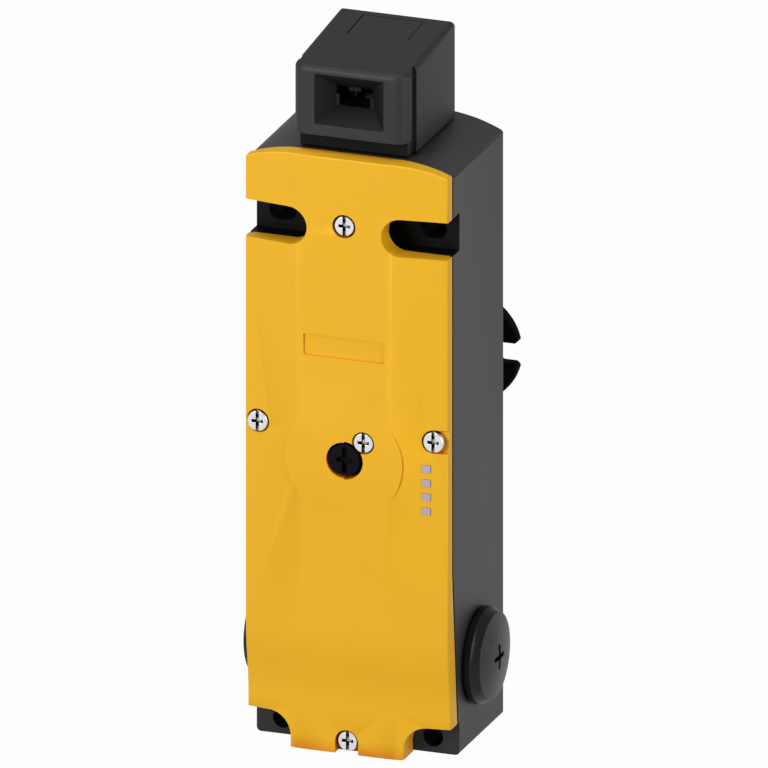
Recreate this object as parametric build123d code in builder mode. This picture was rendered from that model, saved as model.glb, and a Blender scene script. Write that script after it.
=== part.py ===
from build123d import *
import math
import os

# Tongue interlock switch with a guard lock, in millimetres.
# X points to the right, Y to the back, Z up. The origin lies on the mounting
# face, midway between the two lower mounting holes. A depth is a distance in
# front of the mounting face, so a point at depth d has Y = -d.

os.makedirs("parts", exist_ok=True)

# Clearances
running_fit = 0.1
free_gap = 0.3
seat_gap = 0.05
contact_gap = 0.15

# Outline of the housing and its cover
width = 54.0
bottom = -4.2
top = 154.7
crown_flat = 12.0
crown_soft = 12.0
crown_drop = 2.1
shoulder_drop = 3.9
cover_shoulder_drop = 2.8
shoulder_radius = 40.0
corner_radius = 1.2
wall = 3.0
cavity_bottom = 8.0
cavity_corner = 2.0

# Depths of the parting planes and of the pockets
cover_front = 43.5
cover_back = 38.4
seam = 0.8
taper_start = 45.8
taper_slope = 0.09
pocket_floor = 33.0

# Mounting holes and the pockets in front of them
hole_spacing = 40.0
hole_rise = 135.4
hole_radius = 2.65
slot_length = 7.3
upper_pocket_height = 10.0
upper_pocket_inner = 9.9
lower_pocket_inner = 15.0
lower_pocket_top = 4.75
lower_pocket_radius = 6.0
collar_wall = 1.6
collar_depth = 37.8

# Cover shell and its step back near the bottom
cover_wall = 2.2
step_back = 1.9
step_top = 28.8
step_bottom = 7.8
cover_edge = 0.6
cover_top_edge = 0.3
gasket_width = 2.2
badge_width = 21.5
badge_height = 5.6
badge_z = 104.4
badge_depth = 0.4

# Screws of the cover, all alike
screw_radius = 1.5
screw_hole = 1.7
screw_head = 2.7
screw_head_height = 2.0
screw_length = 8.0
screw_post = 3.4
driver_slot = 0.85
driver_slot_depth = 0.8
driver_cross = 3.0
driver_depth = 1.3
recess_radius = 3.1
top_screw_z = 136.9
top_screw_floor = 41.3
side_screw_x = 23.4
side_screw_z = 81.9
side_screw_floor = 40.6
tab_screw_z = -1.0
tab_screw_floor = 38.8
lock_screw_x = 5.1
lock_screw_rise = 5.2
lock_screw_floor = 41.4
lock_screw_recess = 2.95

# Auxiliary release in the front
release_z = 74.6
pad_radius = 15.5
disc_radius = 4.6
disc_face = 4.2
disc_thick = 4.3
disc_setback = 0.3
disc_gap = 0.15
stop_radius = 4.9
stop_thick = 1.6
stop_span = 66.0
stop_middle = 55.0
disc_cross_length = 6.6
disc_cross_width = 1.3
disc_cross_arm = 4.2
release_shaft = 3.2
release_cam = 4.0
hub_radius = 7.2
hub_depth = 32.8
ring_wire = 0.6

# Lamps, their light guides and the circuit board
lamp_x = 21.4
lamp_heights = (74.6, 70.8, 67.1, 63.3)
lamp_width = 2.3
lamp_height = 1.95
lamp_proud = 0.15
lamp_gap = 0.6
lamp_body = 1.6
board_depth = 32.4
board_thick = 1.6
board_left = 13.0
board_right = 23.6
board_low = 50.0
board_high = 78.0
board_post = 2.2
board_post_x = 16.5
board_post_heights = (54.0, 74.0)
board_screw = 1.0
board_screw_head = 1.9
board_screw_length = 5.0

# Cable entries and their plugs
entry_radius = 9.25
entry_z = 18.1
entry_depth = 19.3
entry_boss = 8.0
entry_boss_wall = 2.5
plug_cap = 12.5
plug_rim = 1.9
plug_dome = 3.2
plug_bulge = ((0.55, 0.9), (0.85, 0.5))
plug_seal = 0.8
plug_seal_width = 2.0
plug_thread = 6.5
plug_cross = 6.6
plug_cross_arm = 1.2
plug_cross_depth = 1.5
plug_edge = 0.5

# Head
axis_depth = 19.9
head_half_width = 15.3
head_half_depth = 16.1
head_gap = 0.1
head_height = 25.6
roof_fall = 3.2
head_corner = 0.5
roof_edge = 1.6
nose_depth = 3.8
nose_rise = 4.2
nose_radius = 3.6
groove_width = 3.8
groove_depth = 1.0
funnel_half = 9.2
funnel_below = 4.2
funnel_above = 5.1
funnel_length = 4.4
tongue_half = 4.1
tongue_rise = 3.6
tongue_height = 4.1
lobe_half = 4.9
lobe_inner = 1.6
lobe_below = 1.2
lobe_above = 1.1
tongue_end = 7.8
entry_front = 16.6
entry_back = 11.1
second_plug_half = 8.0
second_plug_front = 19.0
second_plug_back = 7.3
second_plug_thick = 2.0
second_plug_skirt = 3.0

# Head base, spigot, screws and clip
base_half_width = 12.4
base_half_depth = 12.9
base_thick = 2.5
base_screw_x = 10.0
base_screw_y = 10.4
base_screw = 1.1
base_screw_head = 2.0
base_screw_head_height = 1.3
base_screw_length = 8.0
spigot_radius = 9.5
spigot_bore = 6.9
spigot_length = 10.6
clip_rise = 1.4
clip_groove = 8.2
clip_thick = 1.5
clip_arm = 2.4
clip_front = 35.0
clip_end = 12.0
ring_drop = 4.4
head_ring_wire = 0.65

# Cam wheel, its axle and its spring
wheel_rise = 7.7
wheel_low = 5.4
wheel_travel = 60.0
sleeve_stroke = 3.2
wheel_half_width = 4.4
wheel_core = 5.2
wheel_core_half = 2.2
wheel_notch = 3.6
wheel_notch_floor = 4.6
lock_notch_floor = 2.9
axle_radius = 1.5
axle_half_length = 12.5
chamber_half = 7.2
wheel_spring_radius = 2.6
wheel_spring_wire = 0.3
wheel_spring_turns = 2.5

# Plunger sleeve, its bush, its spring and the arm that works a contact slide
sleeve_radius = 4.0
sleeve_bore = 2.0
flange_radius = 5.2
flange_thick = 1.6
bush_radius = 5.5
bush_bottom = 130.0
bush_top = 142.0
bush_flange = 8.0
bush_flange_thick = 1.5
plunger_spring_wire = 0.35
plunger_spring_turns = 5
arm_thick = 3.5
arm_width = 6.0
arm_hub = 6.5

# Lock rod, release frame and armature
lock_stroke = 2.4
release_travel = 90.0
lock_rod_radius = 1.7
frame_bar = 2.5
frame_half_depth = 4.0
frame_sill = 4.2
frame_head = 3.0
frame_arm_height = 4.0
frame_arm_half = 3.0
cam_hub = 4.0
cam_thick = 3.2
cam_space = 0.4
lower_bar_drop = 4.35
armature_radius = 5.0
armature_length = 24.0
armature_stud = 2.5
armature_stud_length = 3.0

# Solenoid
yoke_bottom = 28.0
yoke_top = 62.0
yoke_half_width = 14.0
yoke_half_depth = 10.0
yoke_plate = 2.8
bobbin_wall = 1.0
bobbin_flange = 10.8
bobbin_flange_thick = 1.8
winding_radius = 10.2
pole_radius = 5.2
pole_top = 38.5
pole_stud = 3.0
spring_pocket = 2.4
spring_pocket_depth = 6.0
lock_spring_radius = 1.9
lock_spring_wire = 0.3
lock_spring_turns = 7

# Escape release
escape_shaft_radius = 4.0
shaft_fit = 0.05
escape_length = 44.5
square_end = 5.0
square_length = 3.2
knob_radius = 14.8
knob_thick = 3.0
knob_edge = 0.5
knob_notch_width = 5.0
knob_notch_flare = 1.3
knob_notch_depth = 5.3
knob_notch_round = 0.7
knob_boss_thick = 2.5
knob_hub = 7.5
knob_hub_length = 6.0
knob_screw_head = 3.6
knob_screw_head_height = 2.0
knob_screw_length = 7.0
back_boss_radius = 8.5
back_boss_depth = 8.0
shaft_collar = 6.5
shaft_collar_thick = 2.0
seal_wire = 0.7
seal_depth = 5.0

# Contact blocks
block_x = 16.5
block_half = 7.0
block_depth = 25.0
block_low = 91.0
block_high = 114.0
chamber_low = 97.4
chamber_high = 106.0
chamber_side = 6.0
slide_half_width = 1.5
slide_half_depth = 2.5
slide_rise = 3.5
slide_low = 94.0
slide_high = 112.0
bridge_half = 5.2
bridge_thick = 0.8
bridge_half_width = 1.6
bridge_z = 103.5
strip_thick = 0.8
strip_inner = 3.4
strip_outer = 6.6
strip_reach = 6.5
contact_screw_x = 5.0
contact_screw_heights = (95.7, 110.3)
contact_screw_radius = 1.0
contact_screw_head = 1.6
contact_screw_head_height = 1.4
contact_screw_length = 5.0

# Terminals
terminal_half = 13.0
terminal_low = 10.0
terminal_high = 25.0
terminal_depth = 13.0
terminal_count = 5
terminal_pitch = 5.0
terminal_cell = 4.2
terminal_cell_depth = 3.0
terminal_screw_head = 1.9
terminal_screw_head_height = 1.5
terminal_screw_length = 5.0

# Values that follow from the sizes above
half_width = width / 2
rim = cover_back - seam
hole_x = hole_spacing / 2
axis_y = -axis_depth
cavity_half = half_width - wall
pocket_middle = upper_pocket_inner + upper_pocket_height / 2
cavity_top = hole_rise - upper_pocket_height / 2 - collar_wall - free_gap - wall
ahead = cover_front + 20
head_bottom = top + head_gap
head_top_back = head_bottom + head_height
head_top_nose = head_top_back - roof_fall
nose_bottom = head_bottom + nose_rise
wheel_z = head_bottom + wheel_rise
tongue_low = wheel_z + tongue_rise
tongue_high = tongue_low + tongue_height
lobe_low = tongue_high - lobe_below
lobe_high = tongue_high + lobe_above
funnel_low = tongue_low - funnel_below
funnel_high = tongue_high + funnel_above
spigot_bottom = head_bottom - spigot_length
clip_low = spigot_bottom + clip_rise
ring_z = head_bottom - ring_drop
guide_end = board_depth + board_thick + lamp_body + lamp_gap
head_front = axis_depth + head_half_depth
nose_face = head_front + nose_depth
nose_tip = (0, -nose_face, head_top_nose)
head_slope = math.atan2(head_top_back - head_top_nose, 2 * head_half_depth + nose_depth)
wheel_rate = sleeve_stroke / math.radians(wheel_travel)
wheel_radius = math.hypot(wheel_low + sleeve_stroke, wheel_rate)
sleeve_top = wheel_z - wheel_low - contact_gap
rod_tip = wheel_z - wheel_core - free_gap
flange_low = sleeve_top - flange_thick
bush_seat = bush_top + bush_flange_thick
slide_top = block_high + slide_rise
arm_low = slide_top + contact_gap
cam_low = lower_bar_drop - lock_stroke - contact_gap
cam_high = lower_bar_drop + lock_stroke - contact_gap
cam_rate = (cam_high - cam_low) / math.radians(release_travel)
frame_window = math.hypot(cam_high, cam_rate) + free_gap
frame_half = frame_window + frame_bar
frame_inner_low = release_z - lower_bar_drop
frame_low = frame_inner_low - frame_sill
frame_inner_top = release_z + cam_hub + lock_stroke + free_gap
frame_high = frame_inner_top + frame_head
armature_low = frame_low - armature_length
coil_low = yoke_bottom + yoke_plate
coil_high = yoke_top - yoke_plate
bobbin_bore = armature_radius + free_gap
release_cam_front = axis_depth + cam_space + cam_thick
knob_back = escape_length + knob_thick


def outline(drop):
    """Front view of the housing or cover, in X and Z, with a gently rounded top."""
    shoulder = top - drop
    with BuildSketch() as face:
        with BuildLine():
            Line((-crown_flat, top), (crown_flat, top))
            RadiusArc((crown_flat, top), (half_width, shoulder), shoulder_radius)
            Line((half_width, shoulder), (half_width, bottom))
            Line((half_width, bottom), (-half_width, bottom))
            Line((-half_width, bottom), (-half_width, shoulder))
            RadiusArc((-half_width, shoulder), (-crown_flat, top), shoulder_radius)
        make_face()
    return face.sketch


def upper_pocket(grow, reach):
    """Slot open to one side, seen from the front, that takes an upper mounting screw."""
    radius = upper_pocket_height / 2 + grow
    with BuildSketch() as face:
        for side in (-1, 1):
            with Locations((side * pocket_middle, hole_rise)):
                Circle(radius)
            with Locations((side * (pocket_middle + reach) / 2, hole_rise)):
                Rectangle(reach - pocket_middle, 2 * radius)
    return face.sketch


def lower_pocket():
    """Corner cut-outs, seen from the front, that take the lower mounting screws."""
    with BuildSketch() as face:
        for side in (-1, 1):
            with BuildLine():
                Line((side * lower_pocket_inner, bottom - 1), (side * (half_width + 1), bottom - 1))
                Line((side * (half_width + 1), bottom - 1), (side * (half_width + 1), lower_pocket_top))
                Line(
                    (side * (half_width + 1), lower_pocket_top),
                    (side * (lower_pocket_inner + lower_pocket_radius), lower_pocket_top),
                )
                RadiusArc(
                    (side * (lower_pocket_inner + lower_pocket_radius), lower_pocket_top),
                    (side * lower_pocket_inner, lower_pocket_top - lower_pocket_radius),
                    -side * lower_pocket_radius,
                )
                Line(
                    (side * lower_pocket_inner, lower_pocket_top - lower_pocket_radius),
                    (side * lower_pocket_inner, bottom - 1),
                )
            make_face()
    return face.sketch


def side_profile(front, back=0.0):
    """Side view between two depths, in Y and Z, both leaning back near the bottom."""
    lean = taper_slope * (taper_start - bottom + 1)
    back_lean = lean if back else 0.0
    with BuildSketch() as face:
        with BuildLine():
            Polyline(
                (-back, top + 1),
                (-front, top + 1),
                (-front, taper_start),
                (-front + lean, bottom - 1),
                (-back + back_lean, bottom - 1),
                (-back, taper_start),
                close=True,
            )
        make_face()
    return face.sketch


def crowned(shift, reach, edge_round=0.0):
    """Plan view of the crowned front, moved back by shift, in X and Y."""
    front = -cover_front + shift
    edge = front + crown_drop
    with BuildSketch() as face:
        with BuildLine():
            Polyline(
                (-half_width, front + reach),
                (-half_width, edge),
                (-crown_flat, front),
                (crown_flat, front),
                (half_width, edge),
                (half_width, front + reach),
                close=True,
            )
        make_face()
        fillet(face.vertices().group_by(Axis.Y)[0], crown_soft)
        if edge_round:
            fillet(face.vertices().filter_by_position(Axis.Y, edge - 0.01, edge + 0.01), edge_round)
    return face.sketch


def step_path():
    """Path down the middle of the cover that steps back near the bottom."""
    middle = (step_back / 2, (step_top + step_bottom) / 2)
    with BuildLine(Plane.YZ) as path:
        Line((0, top + 1), (0, step_top))
        TangentArc((0, step_top), middle, tangent=(0, -1))
        TangentArc((step_back, step_bottom), middle, tangent=(0, 1))
        Line((step_back, step_bottom), (step_back, bottom - 1))
    return path.line


def involute(low, rate, travel, steps=8):
    """Points of a cam flank that lifts a flat follower by the same amount for each degree."""
    points = []
    for step in range(steps + 1):
        turn = math.radians(travel * step / steps)
        reach = low + rate * turn
        along = reach * math.sin(turn) + rate * math.cos(turn)
        down = -reach * math.cos(turn) + rate * math.sin(turn)
        points.append((along, down))
    return points


# Housing: one moulded shell, open to the front, with solid ends that the
# mounting screws pass through, a socket for the head and three cable entries
with BuildPart() as housing:
    with BuildSketch(Plane.XZ):
        add(outline(shoulder_drop))
    extrude(amount=ahead)
    with BuildSketch(Plane.YZ):
        add(side_profile(rim))
    extrude(amount=half_width, both=True, mode=Mode.INTERSECT)
    fillet(
        housing.faces().sort_by(Axis.Y)[-1].edges().filter_by(Axis.Z)
        + housing.edges().filter_by(Axis.Y).group_by(Axis.Z)[0],
        corner_radius,
    )
    with BuildSketch(Plane.XZ.offset(wall)):
        with Locations((0, (cavity_bottom + cavity_top) / 2)):
            RectangleRounded(2 * cavity_half, cavity_top - cavity_bottom, cavity_corner)
    extrude(amount=ahead, mode=Mode.SUBTRACT)

    # posts for the two side screws of the cover
    with BuildSketch(Plane.XZ.offset(rim - screw_length)):
        for side in (-1, 1):
            with Locations((side * side_screw_x, side_screw_z)):
                Circle(screw_post)
    extrude(amount=screw_length)
    with BuildSketch(Plane.YZ.offset(half_width)) as beyond:
        with Locations((-rim / 2, side_screw_z)):
            Rectangle(2 * rim, 4 * screw_post)
    extrude(amount=screw_post, mode=Mode.SUBTRACT)
    mirror(about=Plane.YZ, mode=Mode.INTERSECT)

    # thicker wall round the cable entries at the sides
    for side in (-1, 1):
        with BuildSketch(Plane.YZ.offset(side * cavity_half)):
            with Locations((-entry_depth, entry_z)):
                Circle(entry_radius + entry_boss_wall)
        extrude(amount=-side * (entry_boss - wall))
    with BuildSketch(Plane.YZ):
        with Locations((-entry_depth, entry_z)):
            Circle(entry_radius)
    extrude(amount=half_width, both=True, mode=Mode.SUBTRACT)
    with BuildSketch(Plane.XY.offset(bottom)):
        with Locations((0, -entry_depth)):
            Circle(entry_radius)
    extrude(amount=cavity_bottom - bottom, mode=Mode.SUBTRACT)

    # seats on the back wall: escape shaft, yoke and circuit board
    with BuildSketch(Plane.XZ.offset(wall)):
        with Locations((0, release_z)):
            Circle(back_boss_radius)
    extrude(amount=back_boss_depth - wall)
    with BuildSketch(Plane.XZ.offset(wall)):
        for side in (-1, 1):
            with Locations((side * (yoke_half_width - yoke_plate / 2), (yoke_bottom + yoke_top) / 2)):
                Rectangle(yoke_plate, yoke_top - yoke_bottom)
    extrude(amount=axis_depth - yoke_half_depth - wall)
    with BuildSketch(Plane.XZ.offset(wall)):
        for height in board_post_heights:
            with Locations((board_post_x, height)):
                Circle(board_post)
    extrude(amount=board_depth - wall)
    with BuildSketch(Plane.XZ.offset(board_depth)):
        for height in board_post_heights:
            with Locations((board_post_x, height)):
                Circle(board_screw + seat_gap)
    extrude(amount=-board_screw_length - free_gap, mode=Mode.SUBTRACT)
    with BuildSketch(Plane.XZ):
        with Locations((0, release_z)):
            Circle(escape_shaft_radius + shaft_fit)
    extrude(amount=back_boss_depth, mode=Mode.SUBTRACT)
    with BuildSketch(Plane.XZ.offset(seal_depth - seal_wire - seat_gap)):
        with Locations((0, release_z)):
            Circle(escape_shaft_radius + shaft_fit + 2 * seal_wire + seat_gap)
    extrude(amount=2 * (seal_wire + seat_gap), mode=Mode.SUBTRACT)

    # pockets for the mounting screws and their holes
    with BuildSketch(Plane.XZ.offset(pocket_floor)):
        add(upper_pocket(0, half_width))
        add(lower_pocket())
    extrude(amount=ahead, mode=Mode.SUBTRACT)
    with BuildSketch(Plane.XZ):
        for side in (-1, 1):
            with Locations((side * hole_x, hole_rise)):
                SlotOverall(slot_length, 2 * hole_radius)
            with Locations((side * hole_x, 0)):
                Circle(hole_radius)
    extrude(amount=pocket_floor, mode=Mode.SUBTRACT)

    # stepped bore for the head's spigot, the bush and the sleeve
    with BuildSketch(Plane.XY.offset(bush_top)):
        with Locations((0, axis_y)):
            Circle(spigot_radius + running_fit)
    extrude(amount=top - bush_top, mode=Mode.SUBTRACT)
    with BuildSketch(Plane.XY.offset(bush_bottom)):
        with Locations((0, axis_y)):
            Circle(bush_radius + seat_gap)
    extrude(amount=bush_top - bush_bottom, mode=Mode.SUBTRACT)
    with BuildSketch(Plane.XY.offset(cavity_top - wall)):
        with Locations((0, axis_y)):
            Circle(sleeve_radius + free_gap)
    extrude(amount=bush_bottom - cavity_top + wall, mode=Mode.SUBTRACT)

    # slot that the head clip slides into from the front
    with BuildSketch(Plane.XY.offset(clip_low - contact_gap)):
        with Locations((0, -(clip_end + ahead) / 2 + running_fit)):
            Rectangle(2 * (clip_groove + clip_arm + free_gap), ahead - clip_end)
    extrude(amount=clip_thick + 2 * contact_gap, mode=Mode.SUBTRACT)

    # holes for the cover's screws
    for place, floor in (
        ((0, top_screw_z), top_screw_floor),
        ((-side_screw_x, side_screw_z), side_screw_floor),
        ((side_screw_x, side_screw_z), side_screw_floor),
        ((0, tab_screw_z), tab_screw_floor),
    ):
        with BuildSketch(Plane.XZ.offset(floor - screw_length - free_gap)):
            with Locations(place):
                Circle(screw_radius + seat_gap)
        extrude(amount=screw_length, mode=Mode.SUBTRACT)
housing.part.label = "housing"
export_step(housing.part, "parts/housing.step")

# Front cover: a crowned moulded lid that steps back near the bottom, hollow
# behind, with collars round the upper pockets and a hub for the release
with BuildPart() as cover_hollow:
    with BuildSketch(Plane.XY.offset(top + 1)):
        add(crowned(cover_wall, cover_front))
    sweep(path=step_path(), normal=(0, 0, 1))
    with BuildSketch(Plane.XZ):
        with Locations((0, (cavity_bottom + cavity_top) / 2)):
            RectangleRounded(2 * cavity_half, cavity_top - cavity_bottom, cavity_corner)
    extrude(amount=ahead, mode=Mode.INTERSECT)

with BuildPart() as front_cover:
    with BuildSketch(Plane.XY.offset(top + 1)):
        add(crowned(0, cover_front, cover_edge))
    sweep(path=step_path(), normal=(0, 0, 1))
    with BuildSketch(Plane.XZ):
        add(outline(cover_shoulder_drop))
    extrude(amount=ahead, mode=Mode.INTERSECT)
    with BuildSketch(Plane.YZ):
        add(side_profile(ahead, cover_back))
    extrude(amount=half_width, both=True, mode=Mode.INTERSECT)
    top_edges = front_cover.edges().filter_by(
        lambda edge: edge.center().Z > top - cover_shoulder_drop - cover_edge
        and edge.center().Y < -cover_back - cover_wall / 2
        and abs(edge.center().X) < half_width - seat_gap
        and abs(edge.tangent_at(0.5).X) > 0.5
    )
    chamfer(top_edges, cover_top_edge)
    with BuildSketch(Plane.XZ.offset(cover_back)):
        with Locations((0, release_z)):
            Circle(pad_radius)
    extrude(amount=cover_front - cover_back)
    add(cover_hollow.part, mode=Mode.SUBTRACT)
    with BuildSketch(Plane.XZ):
        add(upper_pocket(0, half_width))
        add(lower_pocket())
    extrude(amount=ahead, mode=Mode.SUBTRACT)
    with BuildSketch(Plane.XZ.offset(collar_depth)):
        add(upper_pocket(collar_wall, half_width - seam))
        add(upper_pocket(0, half_width), mode=Mode.SUBTRACT)
    extrude(amount=cover_back - collar_depth + seam)

    # hub of the release and post of the locking screw, behind the front wall
    with BuildSketch(Plane.XZ.offset(hub_depth)):
        with Locations((0, release_z)):
            Circle(hub_radius)
        with Locations((lock_screw_x, release_z + lock_screw_rise)):
            Circle(screw_post)
    extrude(amount=cover_front - cover_wall / 2 - hub_depth)
    with BuildSketch(Plane.XZ.offset(hub_depth)):
        with Locations((0, release_z)):
            Circle(release_shaft + running_fit)
    extrude(amount=ahead, mode=Mode.SUBTRACT)
    with BuildSketch(Plane.XZ.offset(hub_depth)):
        with Locations((0, release_z)):
            Circle(release_shaft + running_fit + 2 * ring_wire)
    extrude(amount=2 * ring_wire + running_fit, mode=Mode.SUBTRACT)
    disc_floor = cover_front - disc_setback - disc_thick
    with BuildSketch(Plane.XZ.offset(disc_floor - running_fit)):
        with Locations((0, release_z)):
            Circle(disc_radius + disc_gap)
        with BuildLine():
            CenterArc((0, release_z), stop_radius + disc_gap, -90, 180)
            Line((0, release_z + stop_radius + disc_gap), (0, release_z - stop_radius - disc_gap))
        make_face()
    extrude(amount=ahead, mode=Mode.SUBTRACT)

    # recesses and holes of the screws
    for place, floor, radius in (
        ((0, top_screw_z), top_screw_floor, recess_radius),
        ((-side_screw_x, side_screw_z), side_screw_floor, recess_radius),
        ((side_screw_x, side_screw_z), side_screw_floor, recess_radius),
        ((0, tab_screw_z), tab_screw_floor, recess_radius),
        ((lock_screw_x, release_z + lock_screw_rise), lock_screw_floor, lock_screw_recess),
    ):
        with BuildSketch(Plane.XZ.offset(floor)):
            with Locations(place):
                Circle(radius)
        extrude(amount=ahead, mode=Mode.SUBTRACT)
        with BuildSketch(Plane.XZ.offset(floor - screw_length - free_gap)):
            with Locations(place):
                Circle(screw_hole if place[0] != lock_screw_x else screw_radius + seat_gap)
        extrude(amount=ahead, mode=Mode.SUBTRACT)
    with BuildSketch(Plane.XZ.offset(side_screw_floor)):
        for side in (-1, 1):
            with Locations((side * half_width, side_screw_z)):
                Rectangle(2 * (half_width - side_screw_x), 2 * recess_radius)
    extrude(amount=ahead, mode=Mode.SUBTRACT)
    with BuildSketch(Plane.XZ.offset(tab_screw_floor)):
        with Locations((0, (tab_screw_z + bottom) / 2)):
            Rectangle(2 * recess_radius, tab_screw_z - bottom)
    extrude(amount=ahead, mode=Mode.SUBTRACT)

    # badge place and windows of the lamps
    with BuildSketch(Plane.XZ.offset(cover_front - badge_depth)):
        with Locations((0, badge_z)):
            RectangleRounded(badge_width, badge_height, 0.4)
    extrude(amount=ahead, mode=Mode.SUBTRACT)
    with BuildSketch(Plane.XZ.offset(cover_back)):
        for height in lamp_heights:
            with Locations((lamp_x, height)):
                Rectangle(lamp_width + 2 * seat_gap, lamp_height + 2 * seat_gap)
    extrude(amount=ahead, mode=Mode.SUBTRACT)
front_cover.part.label = "front_cover"
export_step(front_cover.part, "parts/front_cover.step")

# Gasket: a flat rubber ring in the seam between housing and cover
with BuildPart() as cover_gasket:
    with BuildSketch(Plane.XZ):
        with Locations((0, (cavity_bottom + cavity_top) / 2)):
            RectangleRounded(
                2 * (cavity_half + gasket_width),
                cavity_top - cavity_bottom + 2 * gasket_width,
                cavity_corner + gasket_width,
            )
            RectangleRounded(
                2 * cavity_half + free_gap,
                cavity_top - cavity_bottom + free_gap,
                cavity_corner,
                mode=Mode.SUBTRACT,
            )
        for side in (-1, 1):
            with Locations((side * side_screw_x, side_screw_z)):
                Circle(screw_hole, mode=Mode.SUBTRACT)
    extrude(amount=ahead)
    with BuildSketch(Plane.YZ):
        add(side_profile(cover_back, rim))
    extrude(amount=half_width, both=True, mode=Mode.INTERSECT)
cover_gasket.part.label = "cover_gasket"
export_step(cover_gasket.part, "parts/cover_gasket.step")

# Cover screws: pan heads with a slot and a cross, four in the cover and one
# more that blocks the release
with BuildPart() as cheese_screw:
    with BuildSketch(Plane.XZ):
        Circle(screw_head)
    extrude(amount=screw_head_height)
    chamfer(cheese_screw.faces().sort_by(Axis.Y)[0].edges(), 0.25)
    with BuildSketch(Plane.XZ):
        Circle(screw_radius)
    extrude(amount=-screw_length)
    with BuildSketch(Plane.XZ.offset(screw_head_height - driver_slot_depth)):
        Rectangle(driver_slot, 3 * screw_head)
    extrude(amount=screw_head_height, mode=Mode.SUBTRACT)
    with BuildSketch(Plane.XZ.offset(screw_head_height - driver_depth)):
        Rectangle(driver_slot, driver_cross)
        Rectangle(driver_cross, driver_slot)
    extrude(amount=screw_head_height, mode=Mode.SUBTRACT)

with BuildPart() as cover_screws:
    with Locations(
        (0, -top_screw_floor, top_screw_z),
        (-side_screw_x, -side_screw_floor, side_screw_z),
        (side_screw_x, -side_screw_floor, side_screw_z),
        (0, -tab_screw_floor, tab_screw_z),
    ):
        add(cheese_screw.part)
cover_screws.part.label = "cover_screws"
export_step(cover_screws.part, "parts/cover_screws.step")

with BuildPart() as locking_screw:
    with Locations((lock_screw_x, -lock_screw_floor, release_z + lock_screw_rise)):
        add(cheese_screw.part)
locking_screw.part.label = "locking_screw"
export_step(locking_screw.part, "parts/locking_screw.step")

# Light guides: four clear windows that carry the light of the lamps
with BuildPart() as light_guides:
    lamp_surface = cover_front - crown_drop * (lamp_x - crown_flat) / (half_width - crown_flat)
    with BuildSketch(Plane.XZ.offset(guide_end)):
        for height in lamp_heights:
            with Locations((lamp_x, height)):
                Rectangle(lamp_width, lamp_height)
    extrude(amount=lamp_surface + lamp_proud - guide_end)
light_guides.part.label = "light_guides"
export_step(light_guides.part, "parts/light_guides.step")

# Circuit board with four lamps, screwed to two posts of the housing
with BuildPart() as circuit_board:
    with BuildSketch(Plane.XZ.offset(board_depth)):
        with Locations(((board_left + board_right) / 2, (board_low + board_high) / 2)):
            Rectangle(board_right - board_left, board_high - board_low)
        for height in board_post_heights:
            with Locations((board_post_x, height)):
                Circle(board_screw + seat_gap, mode=Mode.SUBTRACT)
    extrude(amount=board_thick)
circuit_board.part.label = "circuit_board"
export_step(circuit_board.part, "parts/circuit_board.step")

with BuildPart() as indicator_lamps:
    with BuildSketch(Plane.XZ.offset(board_depth + board_thick)):
        for height in lamp_heights:
            with Locations((lamp_x, height)):
                Rectangle(lamp_width, lamp_height)
    extrude(amount=lamp_body)
indicator_lamps.part.label = "indicator_lamps"
export_step(indicator_lamps.part, "parts/indicator_lamps.step")

with BuildPart() as board_screws:
    for height in board_post_heights:
        with BuildSketch(Plane.XZ.offset(board_depth + board_thick)):
            with Locations((board_post_x, height)):
                Circle(board_screw_head)
        extrude(amount=board_screw)
        with BuildSketch(Plane.XZ.offset(board_depth + board_thick)):
            with Locations((board_post_x, height)):
                Circle(board_screw)
        extrude(amount=-board_screw_length)
board_screws.part.label = "board_screws"
export_step(board_screws.part, "parts/board_screws.step")

# Auxiliary release: disc with a driver cross, stop lug, shaft and a cut-away cam
with BuildPart() as auxiliary_release:
    with BuildSketch(Plane.XZ.offset(disc_floor)):
        with Locations((0, release_z)):
            Circle(disc_radius)
    extrude(amount=lock_screw_floor - free_gap - disc_floor)
    with BuildSketch(Plane.XZ.offset(disc_floor)):
        with Locations((0, release_z)):
            Circle(disc_face)
    extrude(amount=disc_thick)
    chamfer(auxiliary_release.faces().sort_by(Axis.Y)[0].edges(), 0.25)
    with BuildSketch(Plane.XZ.offset(disc_floor)):
        with BuildLine():
            lug = CenterArc((0, release_z), stop_radius, stop_middle - stop_span / 2, stop_span)
            Polyline(lug @ 1, (0, release_z), lug @ 0)
        make_face()
    extrude(amount=stop_thick)
    with BuildSketch(Plane.XZ.offset(release_cam_front)):
        with Locations((0, release_z)):
            Circle(release_shaft)
    extrude(amount=disc_floor - release_cam_front)
    with BuildSketch(Plane.XZ.offset(axis_depth + cam_space)):
        with Locations((0, release_z)):
            Circle(release_cam)
        with Locations((0, release_z - cam_low - release_cam)):
            Rectangle(3 * release_cam, 2 * release_cam, mode=Mode.SUBTRACT)
    extrude(amount=cam_thick)
    with BuildSketch(Plane.XZ.offset(cover_front - disc_setback - driver_depth)):
        with Locations((0, release_z)):
            Rectangle(disc_cross_width, disc_cross_length)
            Rectangle(disc_cross_arm, disc_cross_width)
    extrude(amount=ahead, mode=Mode.SUBTRACT)
auxiliary_release.part.label = "auxiliary_release"
export_step(auxiliary_release.part, "parts/auxiliary_release.step")

with BuildPart() as release_ring:
    with BuildSketch(Plane.YZ):
        ring_rise = release_z + release_shaft + running_fit + ring_wire
        with Locations((-hub_depth - ring_wire - seat_gap, ring_rise)):
            RegularPolygon(ring_wire - seat_gap, 6)
    revolve(axis=Axis((0, 0, release_z), (0, 1, 0)))
release_ring.part.label = "release_ring"
export_step(release_ring.part, "parts/release_ring.step")

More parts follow.
